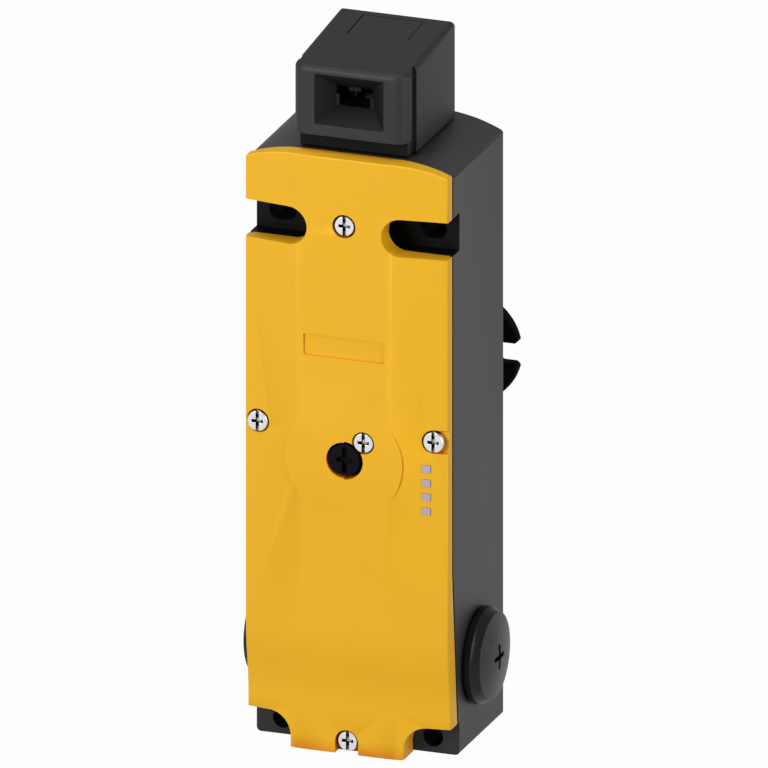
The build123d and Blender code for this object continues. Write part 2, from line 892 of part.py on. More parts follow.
# Cable plugs: domed screw plugs with a cross recess, one in each side entry
with BuildPart() as cable_plugs:
    plug_base = half_width + plug_seal
    plug_side = Plane(origin=(plug_base, -entry_depth, entry_z), x_dir=(1, 0, 0), z_dir=(0, -1, 0))
    with BuildSketch(plug_side):
        with BuildLine():
            Polyline(
                (plug_rim + plug_dome, 0),
                (-plug_seal - plug_thread, 0),
                (-plug_seal - plug_thread, entry_radius - running_fit),
                (0, entry_radius - running_fit),
                (0, plug_cap),
                (plug_rim - plug_edge, plug_cap),
                (plug_rim, plug_cap - plug_edge),
                *[(plug_rim + rise * plug_dome, reach * plug_cap) for rise, reach in plug_bulge],
                close=True,
            )
        make_face()
    revolve(axis=Axis((0, -entry_depth, entry_z), (1, 0, 0)))
    with BuildSketch(Plane.YZ.offset(plug_base + plug_rim + plug_dome - plug_cross_depth)):
        with Locations((-entry_depth, entry_z)):
            Rectangle(plug_cross, plug_cross_arm)
            Rectangle(plug_cross_arm, plug_cross)
    extrude(amount=plug_dome, mode=Mode.SUBTRACT)
    mirror(about=Plane.YZ)
cable_plugs.part.label = "cable_plugs"
export_step(cable_plugs.part, "parts/cable_plugs.step")

with BuildPart() as plug_seals:
    with BuildSketch(Plane.YZ.offset(half_width)):
        with Locations((-entry_depth, entry_z)):
            Circle(entry_radius + plug_seal_width)
            Circle(entry_radius + seat_gap, mode=Mode.SUBTRACT)
    extrude(amount=plug_seal)
    mirror(about=Plane.YZ)
plug_seals.part.label = "plug_seals"
export_step(plug_seals.part, "parts/plug_seals.step")

# Head housing: a block with a sloped roof, a nose with a funnel for the tongue,
# a chamber for the wheel and a second entry in the roof
roof_plane = Plane(
    origin=nose_tip,
    x_dir=(1, 0, 0),
    z_dir=(0, -math.sin(head_slope), math.cos(head_slope)),
)
with BuildPart() as head_housing:
    with BuildSketch(Plane.XY.offset(head_bottom)):
        with Locations((0, axis_y)):
            Rectangle(2 * head_half_width, 2 * head_half_depth)
    extrude(amount=head_top_back + 1 - head_bottom)
    fillet(
        head_housing.edges().filter_by(Axis.Z).group_by(Axis.Y)[-1],
        head_corner,
    )
    with BuildSketch(Plane.XY.offset(nose_bottom)):
        with Locations((0, -head_front - nose_depth / 2)):
            Rectangle(2 * head_half_width, nose_depth)
    extrude(amount=head_top_back + 1 - nose_bottom)
    fillet(head_housing.edges().filter_by(Axis.Z).group_by(Axis.Y)[0], nose_radius)
    split(bisect_by=roof_plane, keep=Keep.BOTTOM)
    roof_edges = head_housing.faces().sort_by(Axis.Z)[-1].edges().sort_by(Axis.Y)
    fillet(roof_edges[:-1], roof_edge)
    with BuildSketch(Plane.XY.offset(head_bottom)):
        for side in (-1, 1):
            with Locations((side * head_half_width, -head_front + groove_width / 2)):
                Rectangle(2 * groove_depth, groove_width)
    extrude(amount=head_top_back + 1 - head_bottom, mode=Mode.SUBTRACT)

    # chamber of the wheel, seat of the base, bore of the axle
    with BuildSketch(Plane.YZ):
        with Locations((axis_y, wheel_z)):
            Circle(wheel_radius + free_gap)
        with Locations((axis_y, (head_bottom + wheel_z) / 2)):
            Rectangle(2 * (wheel_radius + free_gap), wheel_z - head_bottom)
    extrude(amount=chamber_half, both=True, mode=Mode.SUBTRACT)
    with BuildSketch(Plane.XY.offset(head_bottom)):
        with Locations((0, axis_y)):
            Rectangle(2 * (base_half_width + seat_gap), 2 * (base_half_depth + seat_gap))
    extrude(amount=base_thick, mode=Mode.SUBTRACT)
    with BuildSketch(Plane.YZ):
        with Locations((axis_y, wheel_z)):
            Circle(axle_radius + seat_gap)
    extrude(amount=axle_half_length + seat_gap, both=True, mode=Mode.SUBTRACT)
    with BuildSketch(Plane.XY.offset(head_bottom + base_thick)):
        with Locations((0, axis_y)):
            with GridLocations(2 * base_screw_x, 2 * base_screw_y, 2, 2):
                Circle(base_screw + seat_gap)
    extrude(amount=base_screw_length, mode=Mode.SUBTRACT)

    # funnel, slot for the tongue and the room behind the wheel
    with BuildSketch(Plane.XZ.offset(nose_face)):
        with Locations((0, (funnel_low + funnel_high) / 2)):
            Rectangle(2 * funnel_half, funnel_high - funnel_low)
    with BuildSketch(Plane.XZ.offset(nose_face - funnel_length)):
        with Locations((0, (tongue_low + lobe_high) / 2)):
            Rectangle(2 * lobe_half, lobe_high - tongue_low)
    loft(ruled=True, mode=Mode.SUBTRACT)
    with BuildSketch(Plane.XZ.offset(axis_depth)):
        with Locations((0, (tongue_low + tongue_high) / 2)):
            Rectangle(2 * tongue_half, tongue_high - tongue_low)
        for side in (-1, 1):
            with Locations((side * (lobe_inner + lobe_half) / 2, (lobe_low + lobe_high) / 2)):
                Rectangle(lobe_half - lobe_inner, lobe_high - lobe_low)
    extrude(amount=nose_face - funnel_length - axis_depth, mode=Mode.SUBTRACT)
    with BuildSketch(Plane.XZ.offset(tongue_end)):
        with Locations((0, (tongue_low + lobe_high) / 2)):
            Rectangle(2 * lobe_half, lobe_high - tongue_low)
    extrude(amount=axis_depth - tongue_end, mode=Mode.SUBTRACT)

    # second entry, closed by a plug that lies flush with the roof
    second_middle = (second_plug_front + second_plug_back) / 2
    second_length = second_plug_front - second_plug_back
    with BuildSketch(roof_plane):
        with Locations((0, (nose_face - second_middle) / math.cos(head_slope))):
            Rectangle(2 * (second_plug_half + contact_gap), second_length + 2 * contact_gap)
    extrude(amount=-second_plug_thick, mode=Mode.SUBTRACT)
    with BuildSketch(Plane.XY.offset(wheel_z)):
        with Locations((0, -(entry_front + entry_back) / 2)):
            Rectangle(2 * lobe_half, entry_front - entry_back)
    extrude(amount=head_top_back - wheel_z, mode=Mode.SUBTRACT)
head_housing.part.label = "head_housing"
export_step(head_housing.part, "parts/head_housing.step")

with BuildPart() as head_plug:
    with BuildSketch(roof_plane):
        with Locations((0, (nose_face - second_middle) / math.cos(head_slope))):
            Rectangle(2 * second_plug_half, second_length)
    extrude(amount=-second_plug_thick)
    chamfer(head_plug.faces().sort_by(Axis.Z)[-1].edges(), 0.2)
    with BuildSketch(roof_plane.offset(-second_plug_thick)):
        entry_middle = (entry_front + entry_back) / 2
        with Locations((0, (nose_face - entry_middle) / math.cos(head_slope))):
            Rectangle(2 * (lobe_half - free_gap), entry_front - entry_back - 6 * free_gap)
    extrude(amount=-second_plug_skirt)
head_plug.part.label = "head_plug"
export_step(head_plug.part, "parts/head_plug.step")

# Head base: plate that closes the head from below, with the spigot it turns on
with BuildPart() as head_base:
    with BuildSketch(Plane.XY.offset(head_bottom)):
        with Locations((0, axis_y)):
            Rectangle(2 * base_half_width, 2 * base_half_depth)
    extrude(amount=base_thick)
    with BuildSketch(Plane.XY.offset(spigot_bottom)):
        with Locations((0, axis_y)):
            Circle(spigot_radius)
    extrude(amount=head_bottom - spigot_bottom)
    with BuildSketch(Plane.XY.offset(spigot_bottom)):
        with Locations((0, axis_y)):
            Circle(spigot_bore)
    extrude(amount=head_bottom - spigot_bottom, mode=Mode.SUBTRACT)
    with BuildSketch(Plane.XY.offset(head_bottom)):
        with Locations((0, axis_y)):
            Rectangle(2 * (wheel_half_width + 2 * free_gap), 2 * (wheel_radius + free_gap))
            Circle(spigot_bore)
    extrude(amount=base_thick, mode=Mode.SUBTRACT)
    for low, high in (
        (clip_low - contact_gap, clip_low + clip_thick + contact_gap),
        (ring_z - head_ring_wire - seat_gap, ring_z + head_ring_wire + seat_gap),
    ):
        with BuildSketch(Plane.XY.offset(low)):
            with Locations((0, axis_y)):
                Circle(spigot_radius + running_fit)
                Circle(clip_groove, mode=Mode.SUBTRACT)
        extrude(amount=high - low, mode=Mode.SUBTRACT)
    with BuildSketch(Plane.XY.offset(head_bottom)):
        with Locations((0, axis_y)):
            with GridLocations(2 * base_screw_x, 2 * base_screw_y, 2, 2):
                Circle(base_screw + seat_gap)
    extrude(amount=base_thick, mode=Mode.SUBTRACT)
    with BuildSketch(Plane.XY.offset(head_bottom)):
        with Locations((0, axis_y)):
            with GridLocations(2 * base_screw_x, 2 * base_screw_y, 2, 2):
                Circle(base_screw_head + running_fit)
    extrude(amount=base_screw_head_height, mode=Mode.SUBTRACT)
head_base.part.label = "head_base"
export_step(head_base.part, "parts/head_base.step")

with BuildPart() as head_screws:
    with BuildSketch(Plane.XY.offset(head_bottom)):
        with Locations((0, axis_y)):
            with GridLocations(2 * base_screw_x, 2 * base_screw_y, 2, 2):
                Circle(base_screw_head)
    extrude(amount=base_screw_head_height)
    with BuildSketch(Plane.XY.offset(head_bottom)):
        with Locations((0, axis_y)):
            with GridLocations(2 * base_screw_x, 2 * base_screw_y, 2, 2):
                Circle(base_screw)
    extrude(amount=base_screw_length)
head_screws.part.label = "head_screws"
export_step(head_screws.part, "parts/head_screws.step")

with BuildPart() as head_ring:
    with BuildSketch(Plane.YZ):
        with Locations((axis_y + clip_groove + seat_gap + head_ring_wire, ring_z)):
            RegularPolygon(head_ring_wire, 6)
    revolve(axis=Axis((0, axis_y, 0), (0, 0, 1)))
head_ring.part.label = "head_ring"
export_step(head_ring.part, "parts/head_ring.step")

# Head clip: a flat fork that keeps the spigot in the housing
with BuildPart() as head_clip:
    clip_half = clip_groove + running_fit
    with BuildSketch(Plane.XY.offset(clip_low)):
        with Locations((0, -(clip_front + clip_end) / 2)):
            Rectangle(2 * (clip_half + clip_arm), clip_front - clip_end)
        with Locations((0, axis_y)):
            Circle(clip_half, mode=Mode.SUBTRACT)
        with Locations((0, -(axis_depth + clip_end - 1) / 2)):
            Rectangle(2 * clip_half, axis_depth - clip_end + 1, mode=Mode.SUBTRACT)
    extrude(amount=clip_thick)
    fillet(head_clip.edges().filter_by(Axis.Z).group_by(Axis.Y)[-1], 1.0)
head_clip.part.label = "head_clip"
export_step(head_clip.part, "parts/head_clip.step")

# Cam wheel: two rims with notches for the tongue and a flank that pushes the
# sleeve down evenly, and a core with a notch for the lock rod
with BuildSketch() as wheel_outline:
    flank = involute(wheel_low, wheel_rate, wheel_travel)
    flat_end = (-math.sqrt(wheel_radius**2 - wheel_low**2), -wheel_low)
    with BuildLine():
        Line(flat_end, flank[0])
        Spline(*flank)
        ThreePointArc(flank[-1], (0, wheel_radius), flat_end)
    make_face()

with BuildPart() as cam_wheel:
    with BuildSketch(Plane.YZ.offset(-wheel_half_width)):
        with Locations((axis_y, wheel_z)):
            add(wheel_outline.sketch)
    extrude(amount=2 * wheel_half_width)
    with BuildSketch(Plane.YZ.offset(-wheel_core_half)):
        with Locations((axis_y, wheel_z)):
            Circle(wheel_radius + 1)
            Circle(wheel_core, mode=Mode.SUBTRACT)
    extrude(amount=2 * wheel_core_half, mode=Mode.SUBTRACT)
    with BuildSketch(Plane.YZ.offset(-wheel_half_width)):
        with Locations((axis_y, wheel_z)):
            with PolarLocations(wheel_notch_floor + wheel_radius / 2, 2, start_angle=30, angular_range=180):
                Rectangle(wheel_radius, wheel_notch)
            Circle(axle_radius + running_fit)
    extrude(amount=2 * wheel_half_width, mode=Mode.SUBTRACT)
    with BuildSketch(Plane.YZ.offset(-wheel_core_half)):
        with Locations((axis_y, wheel_z)):
            with PolarLocations(lock_notch_floor + wheel_radius / 2, 1, start_angle=wheel_travel - 90):
                Rectangle(wheel_radius, 2 * (lock_rod_radius + free_gap))
    extrude(amount=2 * wheel_core_half, mode=Mode.SUBTRACT)
cam_wheel.part.label = "cam_wheel"
export_step(cam_wheel.part, "parts/cam_wheel.step")

with BuildPart() as cam_axle:
    with BuildSketch(Plane.YZ):
        with Locations((axis_y, wheel_z)):
            Circle(axle_radius)
    extrude(amount=axle_half_length, both=True)
cam_axle.part.label = "cam_axle"
export_step(cam_axle.part, "parts/cam_axle.step")


def coil(radius, wire, low, high, turns):
    """Round compression spring with open ends, standing on the head's axis."""
    with BuildPart() as spring:
        with BuildLine():
            path = Helix(
                pitch=(high - low - 2 * wire) / turns,
                height=high - low - 2 * wire,
                radius=radius,
                center=(0, axis_y, low + wire),
            )
        with BuildSketch(Plane(origin=path @ 0, z_dir=path % 0)):
            RegularPolygon(wire, 6)
        sweep(path=path, is_frenet=True)
    return spring.part


with BuildPart() as wheel_spring:
    spring_left = wheel_half_width + contact_gap + wheel_spring_wire
    with BuildLine():
        spring_path = Helix(
            pitch=(chamber_half - contact_gap - wheel_spring_wire - spring_left) / wheel_spring_turns,
            height=chamber_half - contact_gap - wheel_spring_wire - spring_left,
            radius=wheel_spring_radius,
            center=(spring_left, axis_y, wheel_z),
            direction=(1, 0, 0),
        )
    with BuildSketch(Plane(origin=spring_path @ 0, z_dir=spring_path % 0)):
        RegularPolygon(wheel_spring_wire, 6)
    sweep(path=spring_path, is_frenet=True)
wheel_spring.part.label = "wheel_spring"
export_step(wheel_spring.part, "parts/wheel_spring.step")

# Plunger sleeve: a hollow mushroom that the wheel pushes down
with BuildPart() as plunger_sleeve:
    with BuildSketch(Plane.XY.offset(flange_low)):
        with Locations((0, axis_y)):
            Circle(flange_radius)
    extrude(amount=flange_thick)
    with BuildSketch(Plane.XY.offset(arm_low)):
        with Locations((0, axis_y)):
            Circle(sleeve_radius)
    extrude(amount=flange_low - arm_low)
    with BuildSketch(Plane.XY.offset(arm_low)):
        with Locations((0, axis_y)):
            Circle(sleeve_bore)
    extrude(amount=sleeve_top - arm_low, mode=Mode.SUBTRACT)
plunger_sleeve.part.label = "plunger_sleeve"
export_step(plunger_sleeve.part, "parts/plunger_sleeve.step")

with BuildPart() as guide_bush:
    with BuildSketch(Plane.XY.offset(bush_bottom)):
        with Locations((0, axis_y)):
            Circle(bush_radius)
    extrude(amount=bush_top - bush_bottom)
    with BuildSketch(Plane.XY.offset(bush_top)):
        with Locations((0, axis_y)):
            Circle(bush_flange)
    extrude(amount=bush_flange_thick)
    with BuildSketch(Plane.XY.offset(bush_bottom)):
        with Locations((0, axis_y)):
            Circle(sleeve_radius + running_fit)
    extrude(amount=bush_seat - bush_bottom, mode=Mode.SUBTRACT)
guide_bush.part.label = "guide_bush"
export_step(guide_bush.part, "parts/guide_bush.step")

plunger_spring_radius = (sleeve_radius + flange_radius) / 2 + running_fit
plunger_spring = coil(
    plunger_spring_radius, plunger_spring_wire, bush_seat, flange_low, plunger_spring_turns
)
plunger_spring.label = "plunger_spring"
export_step(plunger_spring, "parts/plunger_spring.step")

with BuildPart() as sleeve_arm:
    with BuildSketch(Plane.XY.offset(arm_low)):
        with Locations((0, axis_y)):
            Circle(arm_hub)
        with Locations((-(block_x + slide_half_width) / 2, axis_y)):
            Rectangle(block_x + slide_half_width, arm_width)
        with Locations((0, axis_y)):
            Circle(sleeve_radius + seat_gap, mode=Mode.SUBTRACT)
    extrude(amount=arm_thick)
sleeve_arm.part.label = "sleeve_arm"
export_step(sleeve_arm.part, "parts/sleeve_arm.step")

# Lock rod, release frame and armature: the slide that locks the wheel
with BuildPart() as lock_rod:
    with BuildSketch(Plane.XY.offset(frame_inner_top)):
        with Locations((0, axis_y)):
            Circle(lock_rod_radius)
    extrude(amount=rod_tip - frame_inner_top)
lock_rod.part.label = "lock_rod"
export_step(lock_rod.part, "parts/lock_rod.step")

with BuildPart() as release_frame:
    with BuildSketch(Plane.XZ.offset(axis_depth)):
        with Locations((0, (frame_low + frame_high) / 2)):
            Rectangle(2 * frame_half, frame_high - frame_low)
        with Locations((0, (frame_inner_low + frame_inner_top) / 2)):
            RectangleRounded(2 * frame_window, frame_inner_top - frame_inner_low, 1.0, mode=Mode.SUBTRACT)
    extrude(amount=frame_half_depth, both=True)
    with BuildSketch(Plane.XZ.offset(axis_depth)):
        with Locations(((frame_half + block_x + slide_half_width) / 2, frame_high - frame_arm_height / 2)):
            Rectangle(block_x + slide_half_width - frame_half, frame_arm_height)
    extrude(amount=frame_arm_half, both=True)
    with BuildSketch(Plane.XY.offset(frame_inner_top)):
        with Locations((0, axis_y)):
            Circle(lock_rod_radius + seat_gap)
    extrude(amount=frame_head, mode=Mode.SUBTRACT)
    with BuildSketch(Plane.XY.offset(frame_low)):
        with Locations((0, axis_y)):
            Circle(armature_stud + seat_gap)
    extrude(amount=armature_stud_length + seat_gap, mode=Mode.SUBTRACT)
release_frame.part.label = "release_frame"
export_step(release_frame.part, "parts/release_frame.step")

with BuildPart() as armature:
    with BuildSketch(Plane.XY.offset(armature_low)):
        with Locations((0, axis_y)):
            Circle(armature_radius)
    extrude(amount=armature_length)
    with BuildSketch(Plane.XY.offset(frame_low)):
        with Locations((0, axis_y)):
            Circle(armature_stud)
    extrude(amount=armature_stud_length)
    with BuildSketch(Plane.XY.offset(armature_low)):
        with Locations((0, axis_y)):
            Circle(spring_pocket)
    extrude(amount=spring_pocket_depth, mode=Mode.SUBTRACT)
armature.part.label = "armature"
export_step(armature.part, "parts/armature.step")

armature_spring = coil(
    lock_spring_radius,
    lock_spring_wire,
    pole_top - spring_pocket_depth,
    armature_low + spring_pocket_depth,
    lock_spring_turns,
)
armature_spring.label = "armature_spring"
export_step(armature_spring, "parts/armature_spring.step")

# Solenoid: yoke, bobbin, winding and pole piece
with BuildPart() as yoke:
    with BuildSketch(Plane.XZ.offset(axis_depth)):
        with Locations((0, (yoke_bottom + yoke_top) / 2)):
            Rectangle(2 * yoke_half_width, yoke_top - yoke_bottom)
            Rectangle(
                2 * (yoke_half_width - yoke_plate),
                coil_high - coil_low,
                mode=Mode.SUBTRACT,
            )
    extrude(amount=yoke_half_depth, both=True)
    with BuildSketch(Plane.XY.offset(coil_high)):
        with Locations((0, axis_y)):
            Circle(bobbin_bore)
    extrude(amount=yoke_plate, mode=Mode.SUBTRACT)
    with BuildSketch(Plane.XY.offset(yoke_bottom)):
        with Locations((0, axis_y)):
            Circle(pole_stud + seat_gap)
    extrude(amount=yoke_plate, mode=Mode.SUBTRACT)
yoke.part.label = "yoke"
export_step(yoke.part, "parts/yoke.step")

with BuildPart() as bobbin:
    for low in (coil_low + seat_gap, coil_high - seat_gap - bobbin_flange_thick):
        with BuildSketch(Plane.XY.offset(low)):
            with Locations((0, axis_y)):
                Circle(bobbin_flange)
        extrude(amount=bobbin_flange_thick)
    with BuildSketch(Plane.XY.offset(coil_low + seat_gap)):
        with Locations((0, axis_y)):
            Circle(bobbin_bore + bobbin_wall)
    extrude(amount=coil_high - coil_low - 2 * seat_gap)
    with BuildSketch(Plane.XY.offset(coil_low)):
        with Locations((0, axis_y)):
            Circle(bobbin_bore)
    extrude(amount=coil_high - coil_low, mode=Mode.SUBTRACT)
bobbin.part.label = "bobbin"
export_step(bobbin.part, "parts/bobbin.step")

with BuildPart() as winding:
    winding_low = coil_low + bobbin_flange_thick + 2 * seat_gap
    with BuildSketch(Plane.XY.offset(winding_low)):
        with Locations((0, axis_y)):
            Circle(winding_radius)
            Circle(bobbin_bore + bobbin_wall + seat_gap, mode=Mode.SUBTRACT)
    extrude(amount=coil_high - coil_low - 2 * bobbin_flange_thick - 4 * seat_gap)
winding.part.label = "winding"
export_step(winding.part, "parts/winding.step")

with BuildPart() as pole_piece:
    with BuildSketch(Plane.XY.offset(coil_low)):
        with Locations((0, axis_y)):
            Circle(pole_radius)
    extrude(amount=pole_top - coil_low)
    with BuildSketch(Plane.XY.offset(yoke_bottom)):
        with Locations((0, axis_y)):
            Circle(pole_stud)
    extrude(amount=coil_low - yoke_bottom)
    with BuildSketch(Plane.XY.offset(pole_top - spring_pocket_depth)):
        with Locations((0, axis_y)):
            Circle(spring_pocket)
    extrude(amount=spring_pocket_depth, mode=Mode.SUBTRACT)
pole_piece.part.label = "pole_piece"
export_step(pole_piece.part, "parts/pole_piece.step")

# Escape release: a long shaft through the mounting wall with a snail cam at its
# inner end, and a round knob screwed to its outer end
with BuildSketch() as snail_outline:
    flank = involute(cam_low, cam_rate, release_travel)
    hub_start = (-math.sqrt(cam_hub**2 - cam_low**2), -cam_low)
    hub_side = cam_hub * math.sqrt(0.5)
    with BuildLine():
        Line(hub_start, flank[0])
        Spline(*flank)
        Line(flank[-1], (0, cam_hub))
        ThreePointArc((0, cam_hub), (-hub_side, hub_side), hub_start)
    make_face()

with BuildPart() as escape_shaft:
    with BuildSketch(Plane.XZ.offset(axis_depth - cam_space)):
        with Locations((0, release_z)):
            add(snail_outline.sketch)
    extrude(amount=-cam_thick)
    with BuildSketch(Plane.XZ.offset(axis_depth - cam_space - cam_thick)):
        with Locations((0, release_z)):
            Circle(escape_shaft_radius)
    extrude(amount=-(axis_depth - cam_space - cam_thick) - escape_length)
    with BuildSketch(Plane.XZ.offset(back_boss_depth + free_gap)):
        with Locations((0, release_z)):
            Circle(shaft_collar)
    extrude(amount=shaft_collar_thick)
    with BuildSketch(Plane.XZ.offset(-escape_length)):
        with Locations((0, release_z)):
            Rectangle(square_end, square_end)
    extrude(amount=-square_length)
    with BuildSketch(Plane.XZ.offset(-escape_length - square_length)):
        with Locations((0, release_z)):
            Circle(screw_radius + seat_gap)
    extrude(amount=knob_screw_length + free_gap, mode=Mode.SUBTRACT)
escape_shaft.part.label = "escape_shaft"
export_step(escape_shaft.part, "parts/escape_shaft.step")

with BuildPart() as shaft_seal:
    with BuildSketch(Plane.YZ):
        with Locations((-seal_depth, release_z + escape_shaft_radius + shaft_fit + seal_wire)):
            RegularPolygon(seal_wire - seat_gap / 2, 6)
    revolve(axis=Axis((0, 0, release_z), (0, 1, 0)))
shaft_seal.part.label = "shaft_seal"
export_step(shaft_seal.part, "parts/shaft_seal.step")

with BuildPart() as escape_knob:
    with BuildSketch(Plane.XZ.offset(-knob_back)) as knob_face:
        with Locations((0, release_z)):
            Circle(knob_radius)
            with PolarLocations(knob_radius, 4):
                Polygon(
                    (1, -knob_notch_width / 2 - knob_notch_flare - 1),
                    (-knob_notch_flare, -knob_notch_width / 2),
                    (-knob_notch_depth, -knob_notch_width / 2),
                    (-knob_notch_depth, knob_notch_width / 2),
                    (-knob_notch_flare, knob_notch_width / 2),
                    (1, knob_notch_width / 2 + knob_notch_flare + 1),
                    align=None,
                    mode=Mode.SUBTRACT,
                )
        fillet(knob_face.vertices(), knob_notch_round)
    extrude(amount=knob_thick)
    chamfer(escape_knob.faces().sort_by(Axis.Y)[0].edges(), knob_edge)
    chamfer(escape_knob.faces().sort_by(Axis.Y)[-1].edges(), knob_edge)
    with BuildSketch(Plane.XZ.offset(-knob_back)):
        with Locations((0, release_z)):
            Circle(knob_hub)
    extrude(amount=-knob_boss_thick)
    with BuildSketch(Plane.XZ.offset(-escape_length)):
        with Locations((0, release_z)):
            Circle(knob_hub)
    extrude(amount=knob_hub_length)
    with BuildSketch(Plane.XZ.offset(-escape_length)):
        with Locations((0, release_z)):
            Circle(escape_shaft_radius + seat_gap)
    extrude(amount=knob_hub_length, mode=Mode.SUBTRACT)
    with BuildSketch(Plane.XZ.offset(-escape_length)):
        with Locations((0, release_z)):
            Rectangle(square_end + 2 * seat_gap, square_end + 2 * seat_gap)
    extrude(amount=-knob_thick - knob_boss_thick, mode=Mode.SUBTRACT)
    with BuildSketch(Plane.XZ.offset(-escape_length - square_length)):
        with Locations((0, release_z)):
            Circle(knob_screw_head + running_fit)
    extrude(amount=-knob_thick - knob_boss_thick, mode=Mode.SUBTRACT)
escape_knob.part.label = "escape_knob"
export_step(escape_knob.part, "parts/escape_knob.step")

with BuildPart() as knob_screw:
    with BuildSketch(Plane.XZ.offset(-escape_length - square_length)):
        with Locations((0, release_z)):
            Circle(knob_screw_head)
    extrude(amount=-knob_screw_head_height)
    with BuildSketch(Plane.XZ.offset(-escape_length - square_length)):
        with Locations((0, release_z)):
            Circle(screw_radius)
    extrude(amount=knob_screw_length)
    with BuildSketch(Plane.XZ.offset(-escape_length - square_length - knob_screw_head_height)):
        with Locations((0, release_z)):
            Rectangle(driver_cross, driver_slot)
            Rectangle(driver_slot, driver_cross)
    extrude(amount=driver_slot_depth, mode=Mode.SUBTRACT)
knob_screw.part.label = "knob_screw"
export_step(knob_screw.part, "parts/knob_screw.step")

# Contact blocks: the left one senses the tongue, the right one the lock. Each has
# a slide with a bridge that moves between two upper and two lower contacts
for side, name, stroke in ((-1, "left", sleeve_stroke), (1, "right", lock_stroke)):
    middle = side * block_x
    low, high = (slide_low, slide_top) if side < 0 else (frame_high + contact_gap, slide_high)
    with BuildPart() as contact_block:
        with BuildSketch(Plane.XZ.offset(wall)):
            with Locations((middle, (block_low + block_high) / 2)):
                Rectangle(2 * block_half, block_high - block_low)
        extrude(amount=block_depth - wall)
        with BuildSketch(Plane.XY.offset(block_low)):
            with Locations((middle, axis_y)):
                Rectangle(2 * (slide_half_width + free_gap), 2 * (slide_half_depth + free_gap))
        extrude(amount=block_high - block_low, mode=Mode.SUBTRACT)
        with BuildSketch(Plane.XZ.offset(axis_depth - slide_half_depth - free_gap)):
            with Locations((middle, (chamber_low + chamber_high) / 2)):
                Rectangle(2 * chamber_side, chamber_high - chamber_low)
        extrude(amount=block_depth, mode=Mode.SUBTRACT)
        with BuildSketch(Plane.XZ.offset(block_depth)):
            for height in contact_screw_heights:
                with Locations((middle - contact_screw_x, height), (middle + contact_screw_x, height)):
                    Circle(contact_screw_radius + seat_gap)
        extrude(amount=-contact_screw_length - free_gap, mode=Mode.SUBTRACT)
    contact_block.part.label = "contact_block_" + name
    export_step(contact_block.part, "parts/contact_block_" + name + ".step")

    with BuildPart() as fixed_contacts:
        upper = bridge_z + bridge_thick / 2 + contact_gap
        lower = bridge_z - bridge_thick / 2 - stroke - contact_gap - strip_thick
        for strip, tab_low, tab_high in (
            (upper, upper, contact_screw_heights[1] + strip_outer / 4),
            (lower, contact_screw_heights[0] - strip_outer / 4, lower + strip_thick),
        ):
            for hand in (-1, 1):
                with BuildSketch(Plane.XY.offset(strip)):
                    strip_middle = middle + hand * (strip_inner + chamber_side) / 2
                    with Locations((strip_middle, -block_depth + strip_reach / 2)):
                        Rectangle(chamber_side - strip_inner - 2 * contact_gap, strip_reach)
                extrude(amount=strip_thick)
                with BuildSketch(Plane.XZ.offset(block_depth)):
                    with Locations((middle + hand * contact_screw_x, (tab_low + tab_high) / 2)):
                        Rectangle(strip_outer - strip_inner, tab_high - tab_low)
                    for height in contact_screw_heights:
                        with Locations((middle + hand * contact_screw_x, height)):
                            Circle(contact_screw_radius + seat_gap, mode=Mode.SUBTRACT)
                extrude(amount=strip_thick)
    fixed_contacts.part.label = "fixed_contacts_" + name
    export_step(fixed_contacts.part, "parts/fixed_contacts_" + name + ".step")

    with BuildPart() as contact_slide:
        with BuildSketch(Plane.XY.offset(low)):
            with Locations((middle, axis_y)):
                Rectangle(2 * slide_half_width, 2 * slide_half_depth)
        extrude(amount=high - low)
        with BuildSketch(Plane.YZ.offset(middle)):
            with Locations((axis_y, bridge_z)):
                Rectangle(2 * (bridge_half_width + seat_gap), bridge_thick + 2 * seat_gap)
        extrude(amount=slide_half_width, both=True, mode=Mode.SUBTRACT)
    contact_slide.part.label = "contact_slide_" + name
    export_step(contact_slide.part, "parts/contact_slide_" + name + ".step")

    with BuildPart() as contact_bridge:
        with BuildSketch(Plane.XY.offset(bridge_z - bridge_thick / 2)):
            with Locations((middle, axis_y)):
                RectangleRounded(2 * bridge_half, 2 * bridge_half_width, 0.6)
        extrude(amount=bridge_thick)
    contact_bridge.part.label = "contact_bridge_" + name
    export_step(contact_bridge.part, "parts/contact_bridge_" + name + ".step")

with BuildPart() as contact_screws:
    for side in (-1, 1):
        for height in contact_screw_heights:
            for hand in (-1, 1):
                place = (side * block_x + hand * contact_screw_x, height)
                with BuildSketch(Plane.XZ.offset(block_depth + strip_thick)):
                    with Locations(place):
                        Circle(contact_screw_head)
                extrude(amount=contact_screw_head_height)
                with BuildSketch(Plane.XZ.offset(block_depth + strip_thick)):
                    with Locations(place):
                        Circle(contact_screw_radius)
                extrude(amount=-contact_screw_length)
contact_screws.part.label = "contact_screws"
export_step(contact_screws.part, "parts/contact_screws.step")

# Terminal block for the supply of the solenoid and the lamps
with BuildPart() as terminal_block:
    with BuildSketch(Plane.XZ.offset(wall)):
        with Locations((0, (terminal_low + terminal_high) / 2)):
            Rectangle(2 * terminal_half, terminal_high - terminal_low)
    extrude(amount=terminal_depth - wall)
    with BuildSketch(Plane.XZ.offset(terminal_depth)):
        with Locations((0, (terminal_low + terminal_high) / 2)):
            with GridLocations(terminal_pitch, 0, terminal_count, 1):
                Rectangle(terminal_cell, terminal_high - terminal_low)
    extrude(amount=-terminal_cell_depth, mode=Mode.SUBTRACT)
    with BuildSketch(Plane.XZ.offset(terminal_depth - terminal_cell_depth)):
        with Locations((0, (terminal_low + terminal_high) / 2)):
            with GridLocations(terminal_pitch, 0, terminal_count, 1):
                Circle(screw_radius + seat_gap)
    extrude(amount=-terminal_screw_length - free_gap, mode=Mode.SUBTRACT)
terminal_block.part.label = "terminal_block"
export_step(terminal_block.part, "parts/terminal_block.step")

